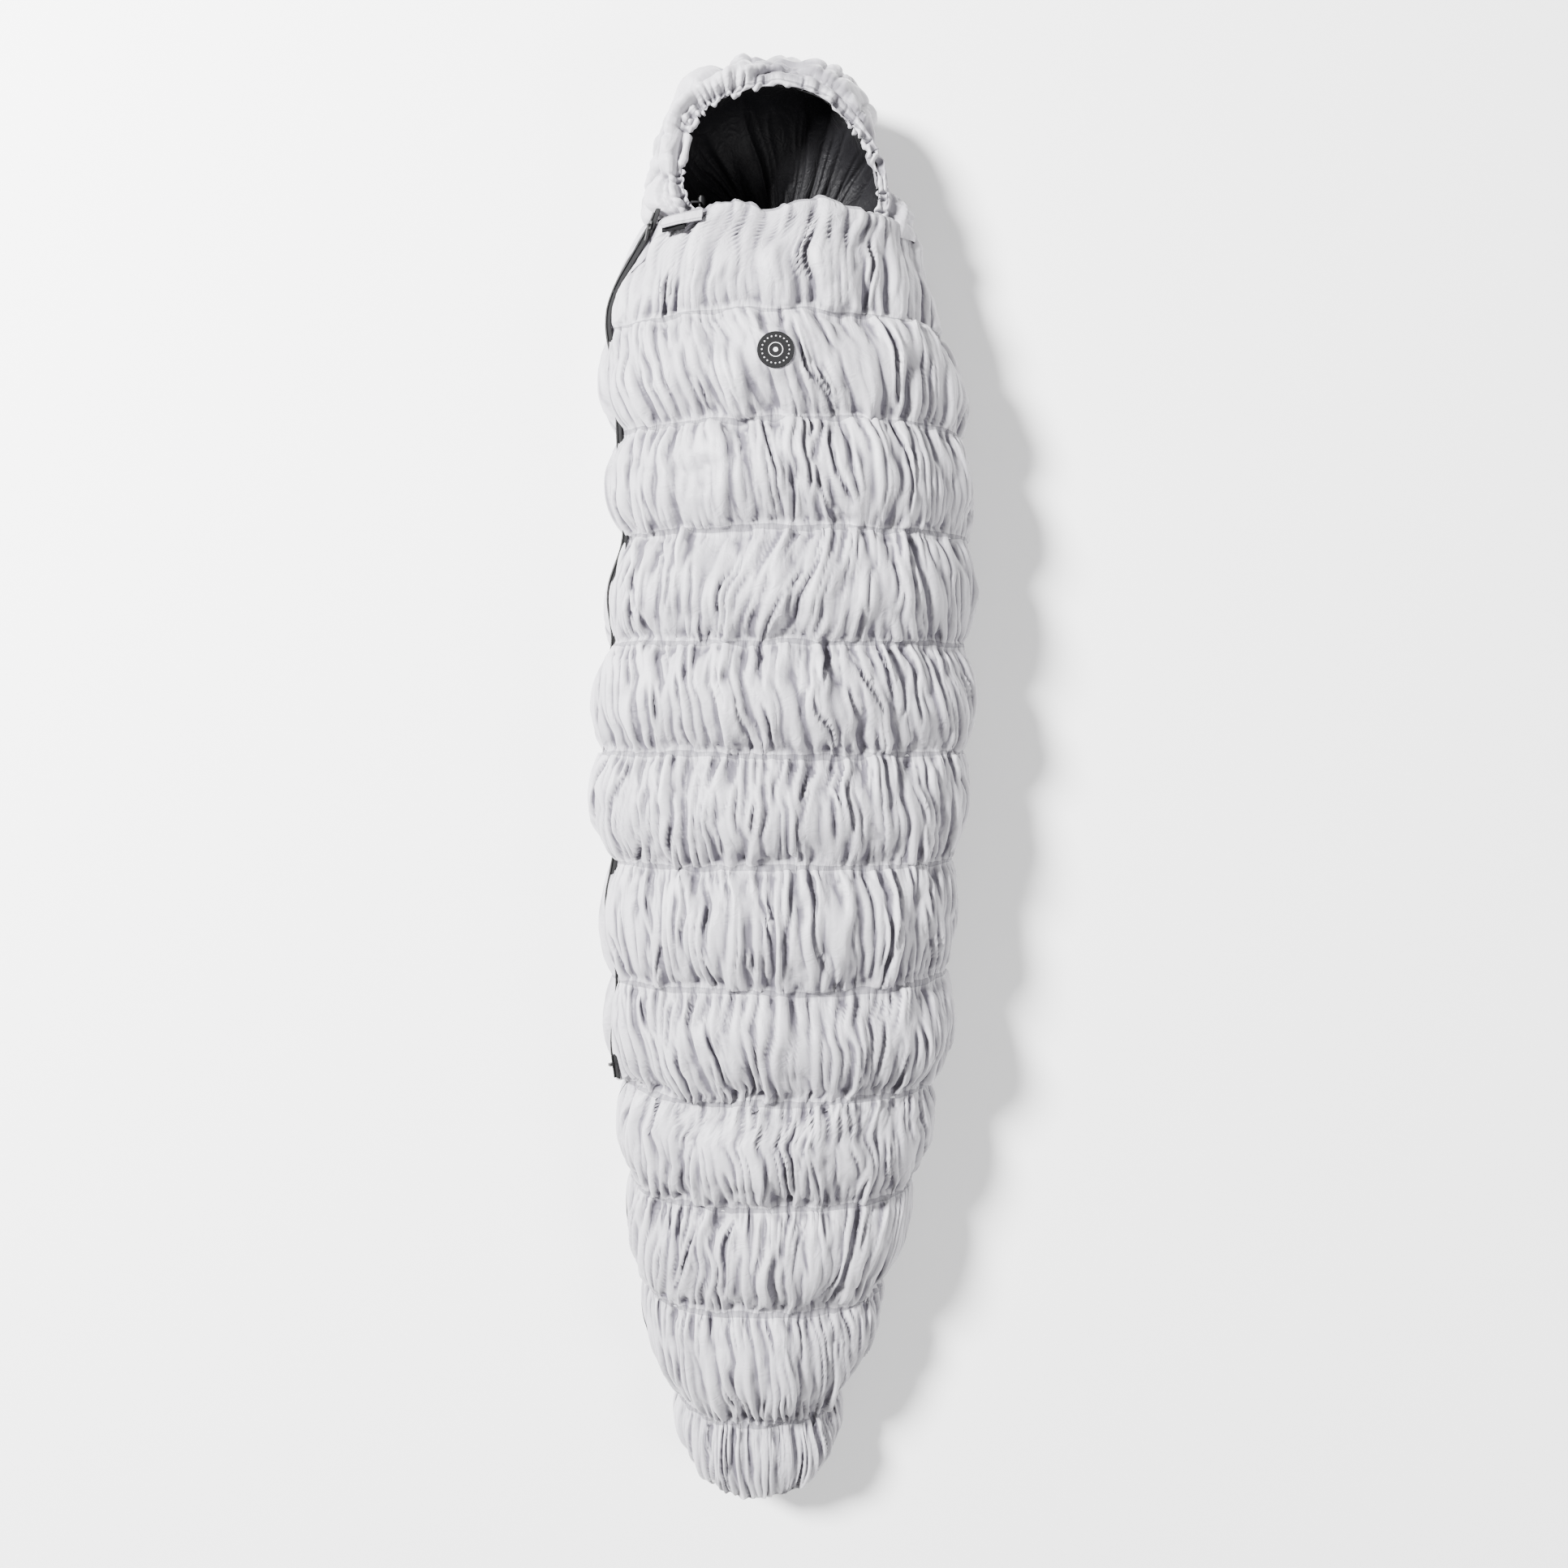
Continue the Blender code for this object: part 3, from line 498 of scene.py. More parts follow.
# Puts a point halfway between each two columns, on a smooth curve.
def doubleColumns(points):
    middle = (points[:, :-1] + points[:, 1:]) / 2
    bend = np.zeros_like(middle)
    bend[:, 1:-1] = (points[:, 1:-2] + points[:, 2:-1] - points[:, :-3] - points[:, 3:]) / 16
    out = np.empty((points.shape[0], points.shape[1] * 2 - 1, 3))
    out[:, ::2] = points
    out[:, 1::2] = middle + bend
    return out


say("padding and folds of the bag")
bodyPoints, bodyAngles = smoothBody(nTop, nUnder)
around = clothMap(bodyPoints, bodyAngles)
bodyPoints, wideHeight = addFolds(bodyPoints, bodyAngles, around, wideFolds)
if bag["relaxFrames"]:
    say("the cloth settles")
    bodyPoints = doubleColumns(settle(bodyPoints[:, ::2]))
    bodyPoints[:, :, 2] = np.maximum(bodyPoints[:, :, 2], floorGap)
bodyPoints, fineHeight = addFolds(bodyPoints, bodyAngles, around, fineFolds)


def ease(t):
    return t * t * (3 - 2 * t)


# the cloth lies flat under the badge
badgeAt = np.array([v.co[:] for v in bpy.data.objects["badge"].data.vertices])
badgeMiddle = badgeAt.mean(axis=0)
badgeUp = np.linalg.svd(badgeAt - badgeMiddle)[2][2]
badgeUp = badgeUp * np.sign(badgeUp[2])
away = bodyPoints - badgeMiddle
level = away @ badgeUp
flatly = np.linalg.norm(away - level[..., None] * badgeUp, axis=2)
pull = np.clip((0.040 - flatly) / 0.014, 0, 1)
pull = ease(pull) * (np.abs(level) < 0.05)
bodyPoints += badgeUp * (pull * (-0.0014 - level))[..., None]


# The height of the CAD tab at a place, from a smooth sheet through its points.
def tabHeight(x, y):
    x, y = np.asarray(x), np.asarray(y)
    return sum(share * term for share, term in zip(tabFit, (1 + 0 * x, x, y, x * x, x * y)))


# The tab lies over the zip's top end, and the cloth is pressed down under it.
tab = {
    "right": -0.112, "left": -0.173, "low": 0.768, "high": 0.7935,
    "slant": 0.006, "thickness": 0.0022, "above": 0.0024, "press": 0.0052,
}
co = np.array([v.co[:] for v in bpy.data.objects["neck_tab"].data.vertices])
terms = np.c_[np.ones(len(co)), co[:, 0], co[:, 1], co[:, 0] ** 2, co[:, 0] * co[:, 1]]
tabFit = np.linalg.lstsq(terms, co[:, 2], rcond=None)[0]
px, py, pz = bodyPoints[..., 0], bodyPoints[..., 1], bodyPoints[..., 2]
outside = np.maximum(np.maximum(-0.176 - px, px + 0.108), np.maximum(0.762 - py, py - 0.797))
press = np.clip(1 - outside / 0.018, 0, 1)
press = ease(press) * (pz > 0.12)
over = np.maximum(pz - (tabHeight(px, py) - tab["press"]), 0)
bodyPoints[..., 2] = pz - over * press

run = np.concatenate([[0], np.cumsum(np.abs(np.diff(rowY)) + 1e-4)])
bodyUV = np.stack([around, run[:, None] + 0 * around], -1)
edgeOf = np.minimum(rowShare, 1 - rowShare) * 0.15
edgeOf[rowChannel == -1] = 0.0
edgeOf[rowChannel == 0] += 0.004
seamDistance = edgeOf[:, None] + 0 * around
# painted shade: a valley's colour is darkened the further it lies under the cloth beside it, and a little more
# the deeper it sinks
folded = wideHeight + fineHeight
nearby = np.cumsum(np.pad(folded, ((0, 0), (5, 4)), mode="edge"), axis=1)
nearby = (nearby[:, 9:] - nearby[:, :-9]) / 9
paintedCreaseShade = np.clip((nearby - folded) / 0.0020, 0, 1) * 0.85 + np.clip(-folded / 0.020, 0, 0.2)
bodyValues = {"seam": seamDistance, "paintedCreaseShade": paintedCreaseShade}


# Materials. Cloth patterns follow the cloth map, which is in metres.
def newMaterial(name, colour, roughness, **more):
    mat = bpy.data.materials.new(name)
    mat.use_nodes = True
    shader = mat.node_tree.nodes["Principled BSDF"]
    shader.inputs["Base Color"].default_value = (*colour, 1)
    shader.inputs["Roughness"].default_value = roughness
    for key, value in more.items():
        shader.inputs[key.replace("_", " ")].default_value = value
    return mat, mat.node_tree, shader


def addNode(tree, kind, x, y, **settings):
    node = tree.nodes.new(kind)
    node.location = (x, y)
    for key, value in settings.items():
        setattr(node, key, value)
    return node


# A Math node's output. Its inputs are numbers or other nodes' outputs.
def mathNode(tree, x, y, operation, a, b=None, clamp=False):
    node = addNode(tree, "ShaderNodeMath", x, y, operation=operation, use_clamp=clamp)
    for socket, value in zip(node.inputs, (a, b)):
        if value is None:
            continue
        if isinstance(value, (int, float)):
            socket.default_value = value
        else:
            tree.links.new(value, socket)
    return node.outputs[0]


def newGroup(name, inputs, outputs):
    group = bpy.data.node_groups.new(name, "ShaderNodeTree")
    for label, kind, value in inputs:
        made = group.interface.new_socket(label, in_out="INPUT", socket_type=kind)
        if value is not None:
            made.default_value = value
    for label, kind in outputs:
        group.interface.new_socket(label, in_out="OUTPUT", socket_type=kind)
    return group, addNode(group, "NodeGroupInput", -900, 0), addNode(group, "NodeGroupOutput", 600, 0)


# Plain weave: threads over and under each other, as a height.
def makeWeave():
    group, given, out = newGroup(
        "plain weave",
        [("Vector", "NodeSocketVector", None), ("Threads per metre", "NodeSocketFloat", 2500.0)],
        [("Height", "NodeSocketFloat")])
    scaled = addNode(group, "ShaderNodeVectorMath", -700, 0, operation="SCALE")
    group.links.new(given.outputs["Vector"], scaled.inputs[0])
    group.links.new(given.outputs["Threads per metre"], scaled.inputs["Scale"])
    split = addNode(group, "ShaderNodeSeparateXYZ", -500, 0)
    group.links.new(scaled.outputs[0], split.inputs[0])
    warp, weft = (
        mathNode(group, -300, y, "SINE", mathNode(group, -400, y, "MULTIPLY", split.outputs[n], math.pi))
        for n, y in enumerate((100, -100)))
    product = mathNode(group, -100, 0, "MULTIPLY", warp, weft)
    group.links.new(mathNode(group, 100, 0, "MULTIPLY_ADD", product, 0.5), out.inputs[0])
    return group


# Small wrinkles that run along the cloth, closer together and deeper near a seam.
def makeWrinkles():
    group, given, out = newGroup(
        "small wrinkles", [("Vector", "NodeSocketVector", None), ("Seam distance", "NodeSocketFloat", 1.0)],
        [("Height", "NodeSocketFloat")])
    stretched = addNode(group, "ShaderNodeMapping", -700, 150)
    stretched.inputs["Scale"].default_value = (130, 24, 130)
    group.links.new(given.outputs["Vector"], stretched.inputs[0])
    gather = addNode(group, "ShaderNodeTexNoise", -500, 150)
    gather.inputs["Scale"].default_value = 1.0
    gather.inputs["Detail"].default_value = 2.0
    gather.inputs["Distortion"].default_value = 0.6
    group.links.new(stretched.outputs[0], gather.inputs["Vector"])
    toSeam = mathNode(group, -600, -50, "MULTIPLY", given.outputs["Seam distance"], -42.0)
    fade = mathNode(group, -500, -50, "EXPONENT", toSeam)
    ridge = mathNode(group, -300, 150, "MULTIPLY", gather.outputs["Fac"], fade)
    crumple = addNode(group, "ShaderNodeTexNoise", -500, -250)
    crumple.inputs["Scale"].default_value = 34.0
    crumple.inputs["Detail"].default_value = 5.0
    crumple.inputs["Roughness"].default_value = 0.55
    crumple.inputs["Distortion"].default_value = 1.2
    group.links.new(given.outputs["Vector"], crumple.inputs["Vector"])
    centred = mathNode(group, -400, -250, "SUBTRACT", crumple.outputs["Fac"], 0.5)
    folded = mathNode(group, -300, -250, "ABSOLUTE", centred)
    total = mathNode(group, 0, 0, "MULTIPLY_ADD", folded, 1.1)
    group.links.new(ridge, total.node.inputs[2])
    group.links.new(total, out.inputs[0])
    return group


# Fine or soft noise, as a mask and as a roughness that follows it.
def makeGrain():
    group, given, out = newGroup(
        "grain", [("Vector", "NodeSocketVector", None), ("Scale", "NodeSocketFloat", 500.0),
                  ("Detail", "NodeSocketFloat", 3.0), ("Roughness", "NodeSocketFloat", 0.5),
                  ("Wear", "NodeSocketFloat", 0.2)],
        [("Grain", "NodeSocketFloat"), ("Roughness", "NodeSocketFloat")])
    noise = addNode(group, "ShaderNodeTexNoise", -500, 0)
    for name in ("Vector", "Scale", "Detail"):
        group.links.new(given.outputs[name], noise.inputs[name])
    centred = mathNode(group, -300, -100, "SUBTRACT", noise.outputs["Fac"], 0.5)
    rough = mathNode(group, -100, -100, "MULTIPLY_ADD", centred, given.outputs["Wear"])
    group.links.new(given.outputs["Roughness"], rough.node.inputs[2])
    group.links.new(noise.outputs["Fac"], out.inputs[0])
    group.links.new(rough, out.inputs[1])
    return group


weaveGroup, wrinkleGroup, grainGroup = makeWeave(), makeWrinkles(), makeGrain()


def groupNode(tree, group, x, y, **values):
    node = addNode(tree, "ShaderNodeGroup", x, y, node_tree=group)
    for key, value in values.items():
        socket = node.inputs[key.replace("_", " ")]
        if isinstance(value, (int, float)):
            socket.default_value = value
        else:
            tree.links.new(value, socket)
    return node


def addBump(tree, x, y, height, strength, distance, under=None):
    bump = addNode(tree, "ShaderNodeBump", x, y)
    bump.inputs["Strength"].default_value = strength
    bump.inputs["Distance"].default_value = distance
    tree.links.new(height, bump.inputs["Height"])
    if under:
        tree.links.new(under, bump.inputs["Normal"])
    return bump.outputs["Normal"]


def colourMix(tree, x, y, factor, a, b):
    mix = addNode(tree, "ShaderNodeMix", x, y, data_type="RGBA")
    tree.links.new(factor, mix.inputs["Factor"])
    for name, value in (("A", a), ("B", b)):
        if isinstance(value, tuple):
            mix.inputs[name].default_value = (*value, 1)
        else:
            tree.links.new(value, mix.inputs[name])
    return mix.outputs["Result"]


# Thin woven cloth, with painted shade that darkens its valleys towards the shade colour, and a line of stitches
# by each seam where it is stitched.
def satinMaterial(name, colour, shade, roughness, wrinkle, stitched, sheen, gloss):
    mat, tree, shader = newMaterial(name, colour, roughness, Sheen_Weight=sheen, Sheen_Roughness=0.4)
    shader.inputs["Specular IOR Level"].default_value = gloss
    uv = addNode(tree, "ShaderNodeUVMap", -1500, 0, uv_map="cloth").outputs[0]
    seam = addNode(tree, "ShaderNodeAttribute", -1500, -300, attribute_name="seam").outputs["Fac"]
    deep = addNode(tree, "ShaderNodeAttribute", -1500, -500, attribute_name="paintedCreaseShade").outputs["Fac"]
    weave = groupNode(tree, weaveGroup, -1100, -200, Vector=uv, Threads_per_metre=1500.0)
    small = groupNode(tree, wrinkleGroup, -1100, 0, Vector=uv, Seam_distance=seam)
    patch = groupNode(
        tree, grainGroup, -1100, 400, Vector=uv, Scale=9.0, Detail=4.0, Roughness=roughness, Wear=0.16)

    tone = mathNode(tree, -900, 400, "MULTIPLY_ADD", patch.outputs["Grain"], 0.16)
    tone.node.inputs[2].default_value = -0.05
    # painted shade: the attribute read into deep darkens the colour towards the shade colour in the folds'
    # valleys, on top of the grain's random tone
    depth = mathNode(tree, -900, 250, "MULTIPLY", deep, 0.95)
    amount = mathNode(tree, -700, 300, "ADD", tone, depth, clamp=True)
    colourWithPaintedShade = colourMix(tree, -500, 300, amount, colour, shade)
    height = small.outputs["Height"]
    if stitched:
        # the thread lies within 1.7 mm of the seam, each stitch 3 mm long
        split = addNode(tree, "ShaderNodeSeparateXYZ", -1300, -700)
        tree.links.new(uv, split.inputs[0])
        turns = mathNode(tree, -1200, -700, "MULTIPLY", split.outputs[0], 1900.0)
        dash = mathNode(tree, -900, -700, "GREATER_THAN", mathNode(tree, -1100, -700, "SINE", turns), -0.35)
        near = mathNode(tree, -900, -850, "LESS_THAN", seam, 0.0017)
        thread = tuple(part * c for part, c in zip((0.55, 0.55, 0.58), shade))
        seen = mathNode(tree, -500, -750, "MULTIPLY", near, 0.55)
        colourWithPaintedShade = colourMix(tree, -300, 300, seen, colourWithPaintedShade, thread)
        stitches = mathNode(tree, -700, -750, "MULTIPLY", dash, near)
        raised = mathNode(tree, -300, -100, "MULTIPLY_ADD", stitches, 0.25)
        tree.links.new(height, raised.node.inputs[2])
        height = raised
    tree.links.new(colourWithPaintedShade, shader.inputs["Base Color"])
    tree.links.new(patch.outputs["Roughness"], shader.inputs["Roughness"])
    threads = addBump(tree, -100, -300, weave.outputs["Height"], 0.25, 0.0002)
    tree.links.new(addBump(tree, 50, -150, height, 1.0, wrinkle, threads), shader.inputs["Normal"])
    return mat


# Moulded, painted or woven small parts: a fine grain and a slightly worn tone.
def grainMaterial(name, colour, roughness, grain, size, gloss=0.15):
    mat, tree, shader = newMaterial(name, colour, roughness)
    shader.inputs["Specular IOR Level"].default_value = gloss
    place = addNode(tree, "ShaderNodeTexCoord", -900, 0).outputs["Object"]
    fine = groupNode(tree, grainGroup, -700, 0, Vector=place, Scale=float(size), Roughness=roughness)
    dark, pale = tuple(c * 0.75 for c in colour), tuple(min(1, c * 1.4) for c in colour)
    tree.links.new(colourMix(tree, -400, 150, fine.outputs["Grain"], dark, pale), shader.inputs["Base Color"])
    tree.links.new(fine.outputs["Roughness"], shader.inputs["Roughness"])
    tree.links.new(addBump(tree, -400, -250, fine.outputs["Grain"], 0.6, grain), shader.inputs["Normal"])
    return mat


shellMat = satinMaterial(
    "grey satin shell", (0.47, 0.459, 0.488), (0.105, 0.098, 0.120), 0.48, 0.0022, True, 0.3, 0.35)
liningMat = satinMaterial(
    "black satin lining", (0.0060, 0.0058, 0.0068), (0.002, 0.002, 0.0025), 0.50, 0.0030, False, 0.05, 0.10)
tapeMat = grainMaterial("black zip tape", (0.005, 0.005, 0.0055), 0.8, 0.0003, 900)
coilMat = grainMaterial("black nylon coil", (0.005, 0.005, 0.0055), 0.45, 0.0001, 500)
plasticMat = grainMaterial("black moulded plastic", (0.006, 0.006, 0.0065), 0.42, 0.0001, 700)
metalMat = grainMaterial("black lacquered metal", (0.010, 0.010, 0.0105), 0.4, 0.00006, 300, gloss=0.3)
rubberMat = grainMaterial("black badge rubber", (0.005, 0.005, 0.0055), 0.62, 0.00015, 800)
printMat = grainMaterial("pale grey badge print", (0.62, 0.62, 0.63), 0.6, 0.0001, 800)
hookMat = grainMaterial("black hook tape", (0.004, 0.004, 0.0045), 0.95, 0.0008, 1400)
cordMat = grainMaterial("black braided cord", (0.011, 0.011, 0.012), 0.75, 0.0005, 1100)
elasticMat = grainMaterial("grey elastic", (0.45, 0.45, 0.47), 0.85, 0.0004, 1200)

say("shells of the bag")


# The cover's and the base's part of a cloth that goes all round, divided at a column.
def coverAndBase(name, points, mat, uv, values, column, flip=False):
    made = []
    for side, part in (("cover", np.s_[:, :column + 1]), ("base", np.s_[:, column:])):
        own = {key: table[part] for key, table in values.items()}
        made.append(clothMesh(side + name, points[part], mat, uv[part], flip, own))
    return made


coverShell, baseShell = coverAndBase("Shell", bodyPoints, shellMat, bodyUV, bodyValues, nTop)

# The lining is quilted to the same seams and puffs inwards.
lining = {
    "depth": 0.0125,  # under the seams' level, clear of the elastic
    "loft": 0.016,
    "ripple": 0.0016,
    "low": 0.012,
    "topColumns": 130,
    "underColumns": 70,
}


def liningPoints():
    top, under = lining["topColumns"], lining["underColumns"]
    rows = [j for j in range(rollRows, len(rowList)) if (j - rollRows) % 2 == 0]
    points = np.zeros((len(rows), top + under + 1, 3))
    angles = np.zeros(points.shape[:2])
    for n, j in enumerate(rows):
        k, share, y = rowList[j]
        angle = rowAngles(y, top, under)
        x, z, nx, nz = levelOutline(max(y, seams[11, 0]), angle)
        loft = 0.75
        if k == 11:
            close = math.cos(min(share, 0.97) * math.pi / 2) ** 0.62 * 0.86
            x, z = toeX + (x - toeX) * close, 0.055 + (z - 0.055) * close
            loft = 0.2
        depth = lining["depth"] + lining["loft"] * np.sin(np.pi * share) ** 0.7 * loft + 0 * angle
        if k == 0:
            depth = depth + 0.012 * np.clip(nz, 0, 1) * max(0, 1 - share * 3)
        if y > zipFoot:
            depth = depth * np.clip((fromZip(angle) * 0.2 + 0.006) / 0.03, 0.1, 1)
        atSeams = min(1, 0.2 + share * 6, 0.2 + (1 - share) * 6)
        depth = depth + valleys(angle * 0.2, share * 0.15, 0.022, 0.11, 300 + k) * lining["ripple"] * atSeams
        lineY = y + 0 * angle + (0.012 * share if k == 11 else 0)
        points[n] = np.stack([x - nx * depth, lineY, np.maximum(z - nz * depth, lining["low"])], -1)
        if y > zipFoot:
            sewToZip(points[n], y, 0.008, 0.006, 0.022)
        if k == 0:
            shift = neckShift(points[n, :, 0]) * np.clip(nz, 0, 1) * max(0, 1 - share * 1.6) ** 2
            points[n, :, 1] += shift - 0.006 * (share == 0)
        angles[n] = angle
    return points, angles, rows


say("linings")
linePoints, lineAngles, lineRows = liningPoints()
lineUV = np.stack([lineAngles * -0.2, run[lineRows][:, None] + 0 * lineAngles], -1)
lineValues = {"seam": seamDistance[lineRows][:, :1] + 0 * lineAngles, "paintedCreaseShade": 0 * lineAngles}
coverLining, baseLining = coverAndBase(
    "Lining", linePoints, liningMat, lineUV, lineValues, lining["topColumns"], True)

hood = {
    "columns": 420,
    "beadRadius": 0.0062,  # the drawcord's channel along the rim
    "beadRows": 11,
    "sideHeight": 0.085,  # where the puff turns down into the side
    "tuck": 0.030,  # how far the side draws in towards the floor
    "ruffle": 0.0046,
    "wrinkle": 1.7,
}
# Round the hood from the left of the neck to the right: share, rim x y z, outline x y.
hoodStations = np.array([
    (-0.08, -0.100, 0.760, 0.140, -0.190, 0.762), (0.00, -0.1136, 0.792, 0.152, -0.203, 0.800),
    (0.08, -0.1316, 0.817, 0.160, -0.1955, 0.828), (0.17, -0.1372, 0.848, 0.166, -0.198, 0.862),
    (0.26, -0.1316, 0.883, 0.168, -0.195, 0.905), (0.34, -0.1242, 0.912, 0.169, -0.183, 0.940),
    (0.42, -0.1068, 0.9315, 0.170, -0.152, 0.990), (0.48, -0.0877, 0.944, 0.171, -0.118, 1.020),
    (0.56, -0.054, 0.956, 0.172, -0.060, 1.042), (0.64, -0.0191, 0.965, 0.172, -0.012, 1.050),
    (0.72, 0.0225, 0.9597, 0.170, 0.038, 1.042), (0.78, 0.0585, 0.945, 0.166, 0.088, 1.022),
    (0.83, 0.0832, 0.9214, 0.160, 0.117, 0.988), (0.88, 0.1074, 0.897, 0.154, 0.131, 0.950),
    (0.92, 0.122, 0.875, 0.150, 0.138, 0.905), (0.95, 0.1282, 0.8506, 0.147, 0.150, 0.870),
    (0.98, 0.1282, 0.819, 0.145, 0.171, 0.832), (1.00, 0.1248, 0.8045, 0.142, 0.192, 0.800),
    (1.06, 0.112, 0.768, 0.130, 0.196, 0.768),
])


# Rim and outline at every column, smoothed a little along the hood, and evenly spaced on the rim.
def hoodCurves(columns):
    t = np.linspace(hoodStations[0, 0], hoodStations[-1, 0], columns)
    nearby = t[:, None] + np.linspace(-0.024, 0.024, 5)
    shares, places = hoodStations[:, 0], hoodStations[:, 1:]
    table = np.stack([np.interp(nearby, shares, place).mean(axis=1) for place in places.T], -1)
    middle = table[:, [0, 1, 3, 4]].reshape(-1, 2, 2).mean(axis=1)
    steps = np.concatenate([[0], np.cumsum(np.linalg.norm(np.diff(middle, axis=0), axis=1))])
    even = np.linspace(0, steps[-1], columns)
    return np.stack([np.interp(even, steps, table[:, k]) for k in range(5)], -1), even


# Distance down each column from the first row.
def downFrom(points):
    steps = np.linalg.norm(np.diff(points, axis=0), axis=2)
    return np.concatenate([np.zeros((1, points.shape[1])), np.cumsum(steps, axis=0)])


def upNormals(points):
    normal = outwards(points)
    return normal * np.sign(normal[len(points) // 2, points.shape[1] // 2, 2])


# Over the rim's channel from inside, then the puff, the side and the floor.
def makeHood():
    table, length = hoodCurves(hood["columns"])
    rim, rimZ, edge = table[:, :2], table[:, 2], table[:, 3:5]
    reach = np.linalg.norm(edge - rim, axis=1)
    out = (edge - rim) / reach[:, None]
    bead, side, low = hood["beadRadius"], hood["sideHeight"], 0.003
    rows = []
    for turn in np.linspace(-0.35, 1.0, hood["beadRows"]):
        angle = math.pi * (1 - turn)
        height = rimZ - 0.001 + bead * math.sin(angle) * 0.9
        rows.append(np.c_[rim + out * (bead + bead * math.cos(angle)), height])
    for share in np.arange(1, 31) / 30:
        radial = 2 * bead + (reach - 2 * bead) * share
        swell = 0.012 * math.sin(math.pi * min(1, share * 1.15)) ** 0.8 * (1 - share)
        height = side + (rimZ - low - side) * (1 - share ** 2.3) ** 0.62 + swell
        rows.append(np.c_[rim + out * radial[:, None], height])
    for share in np.arange(1, 15) / 14:
        angle = share * math.pi / 2
        height = low + (side - low) * (1 - math.sin(angle)) ** 0.9 + 0 * rimZ
        rows.append(np.c_[edge - out * (hood["tuck"] * (1 - math.cos(angle))), height])
    foot = edge - out * hood["tuck"]
    for share in np.arange(1, 8) / 7:
        rows.append(np.c_[foot + (np.array([0.0, 0.775]) - foot) * share, 0.002 + 0 * rimZ])
    points = np.array(rows)

    down = downFrom(points)
    fromStitch = down - down[hood["beadRows"] - 1]
    far = np.maximum(fromStitch, 0)
    across = np.broadcast_to(length, down.shape)
    twist = across + 0.006 * smoothNoise(across, down, 0.06, 0.05, 71)
    ruffle = valleys(twist, down, 0.0105, 0.030, 72) * hood["ruffle"] * np.exp(-far / 0.020)
    bent = down + 0.010 * smoothNoise(across, down, 0.05, 0.1, 73)
    creases = valleys(bent, across, 0.017, 0.060, 74) * 0.0075
    top = np.exp(-((across / length[-1] - 0.6) / 0.16) ** 2)
    radial = valleys(twist, down, 0.026, 0.10, 75) * 0.0062 * (0.45 + 0.55 * top)
    puffy = smoothNoise(across, down, 0.07, 0.04, 76) * 0.007
    bent = down + 0.006 * smoothNoise(across, down, 0.02, 0.1, 77)
    small = valleys(bent, across, 0.009, 0.035, 78) * 0.0016
    loose = (creases * (1.1 - 0.6 * top) + radial + puffy + small) * np.clip(far / 0.018, 0, 1)
    height = (ruffle + loose) * hood["wrinkle"]
    stitch = np.exp(-(far / 0.0022) ** 2) * 0.0016
    offFloor = np.clip((points[:, :, 2] - 0.002) / 0.03, 0, 1)
    points = points + upNormals(points) * ((height - stitch) * offFloor)[:, :, None]
    points[:, :, 2] = np.maximum(points[:, :, 2], 0.0008)
    # painted shade: the hood's colour is darkened in its wrinkles' valleys, more the deeper they are
    values = {"seam": np.abs(fromStitch), "paintedCreaseShade": np.clip(-height / 0.006, 0, 1) ** 1.3 * 0.7}
    return points, np.stack([down, across], -1), values


say("hood")
hoodPoints, hoodUV, hoodValues = makeHood()
hoodShell = clothMesh("hoodShell", hoodPoints, shellMat, hoodUV, values=hoodValues)
if hoodShell.data.polygons[len(hoodShell.data.polygons) // 3].normal.z < 0:
    hoodShell.data.flip_normals()


# The hood's lining hangs from the rim, bulges outwards and falls to the bottom in a fan of folds.
def hoodLiningPoints():
    table, length = hoodCurves(300)
    rim, rimZ, edge = table[:, :2], table[:, 2], table[:, 3:5]
    out = (edge - rim) / np.linalg.norm(edge - rim, axis=1)[:, None]
    neck = np.array([0.0, 0.760])
    share = np.linspace(0, 1, 71)[:, None]
    corners = [
        np.c_[rim + out * 0.004, rimZ - 0.003],
        np.c_[rim + out * 0.040, 0.120 + 0 * rimZ],
        np.c_[rim + out * 0.004 + (neck - rim) * 0.25, 0.012 + 0 * rimZ],
        np.c_[neck + 0 * rim, 0.040 + 0 * rimZ],
    ]
    points = sum(math.comb(3, n) * (share ** n * (1 - share) ** (3 - n))[:, :, None] * corner
                 for n, corner in enumerate(corners))
    down = downFrom(points)
    across = np.broadcast_to(length, down.shape)
    lean = across + 0.012 * smoothNoise(across, down, 0.08, 0.08, 90)
    hang = np.sin(np.pi * np.clip(share, 0, 1))
    height = valleys(lean, down, 0.045, 0.25, 91) * 0.0065 * np.maximum(hang, 0) ** 0.7
    height = height + valleys(lean, down, 0.020, 0.12, 92) * 0.0025 * hang
    height = height + valleys(lean, down, 0.012, 0.04, 93) * 0.0012 * np.exp(-down / 0.02)
    height = height + smoothNoise(across, down, 0.12, 0.08, 94) * 0.006 * hang
    points = points + upNormals(points) * height[:, :, None]
    points[:, :, 2] = np.maximum(points[:, :, 2], 0.006)
    return points, np.stack([across, down], -1), {"seam": down, "paintedCreaseShade": 0 * down}


linePoints, lineUV, lineValues = hoodLiningPoints()
hoodLining = clothMesh("hoodLining", linePoints, liningMat, lineUV, values=lineValues)

# Zip: two tapes and two rows of coil along the zip's line, one of each on the base and one on the cover.
zipper = {"foot": -0.424, "neck": 0.806, "tapeWidth": 0.0125, "coilRadius": 0.0016, "toothPitch": 0.0018}


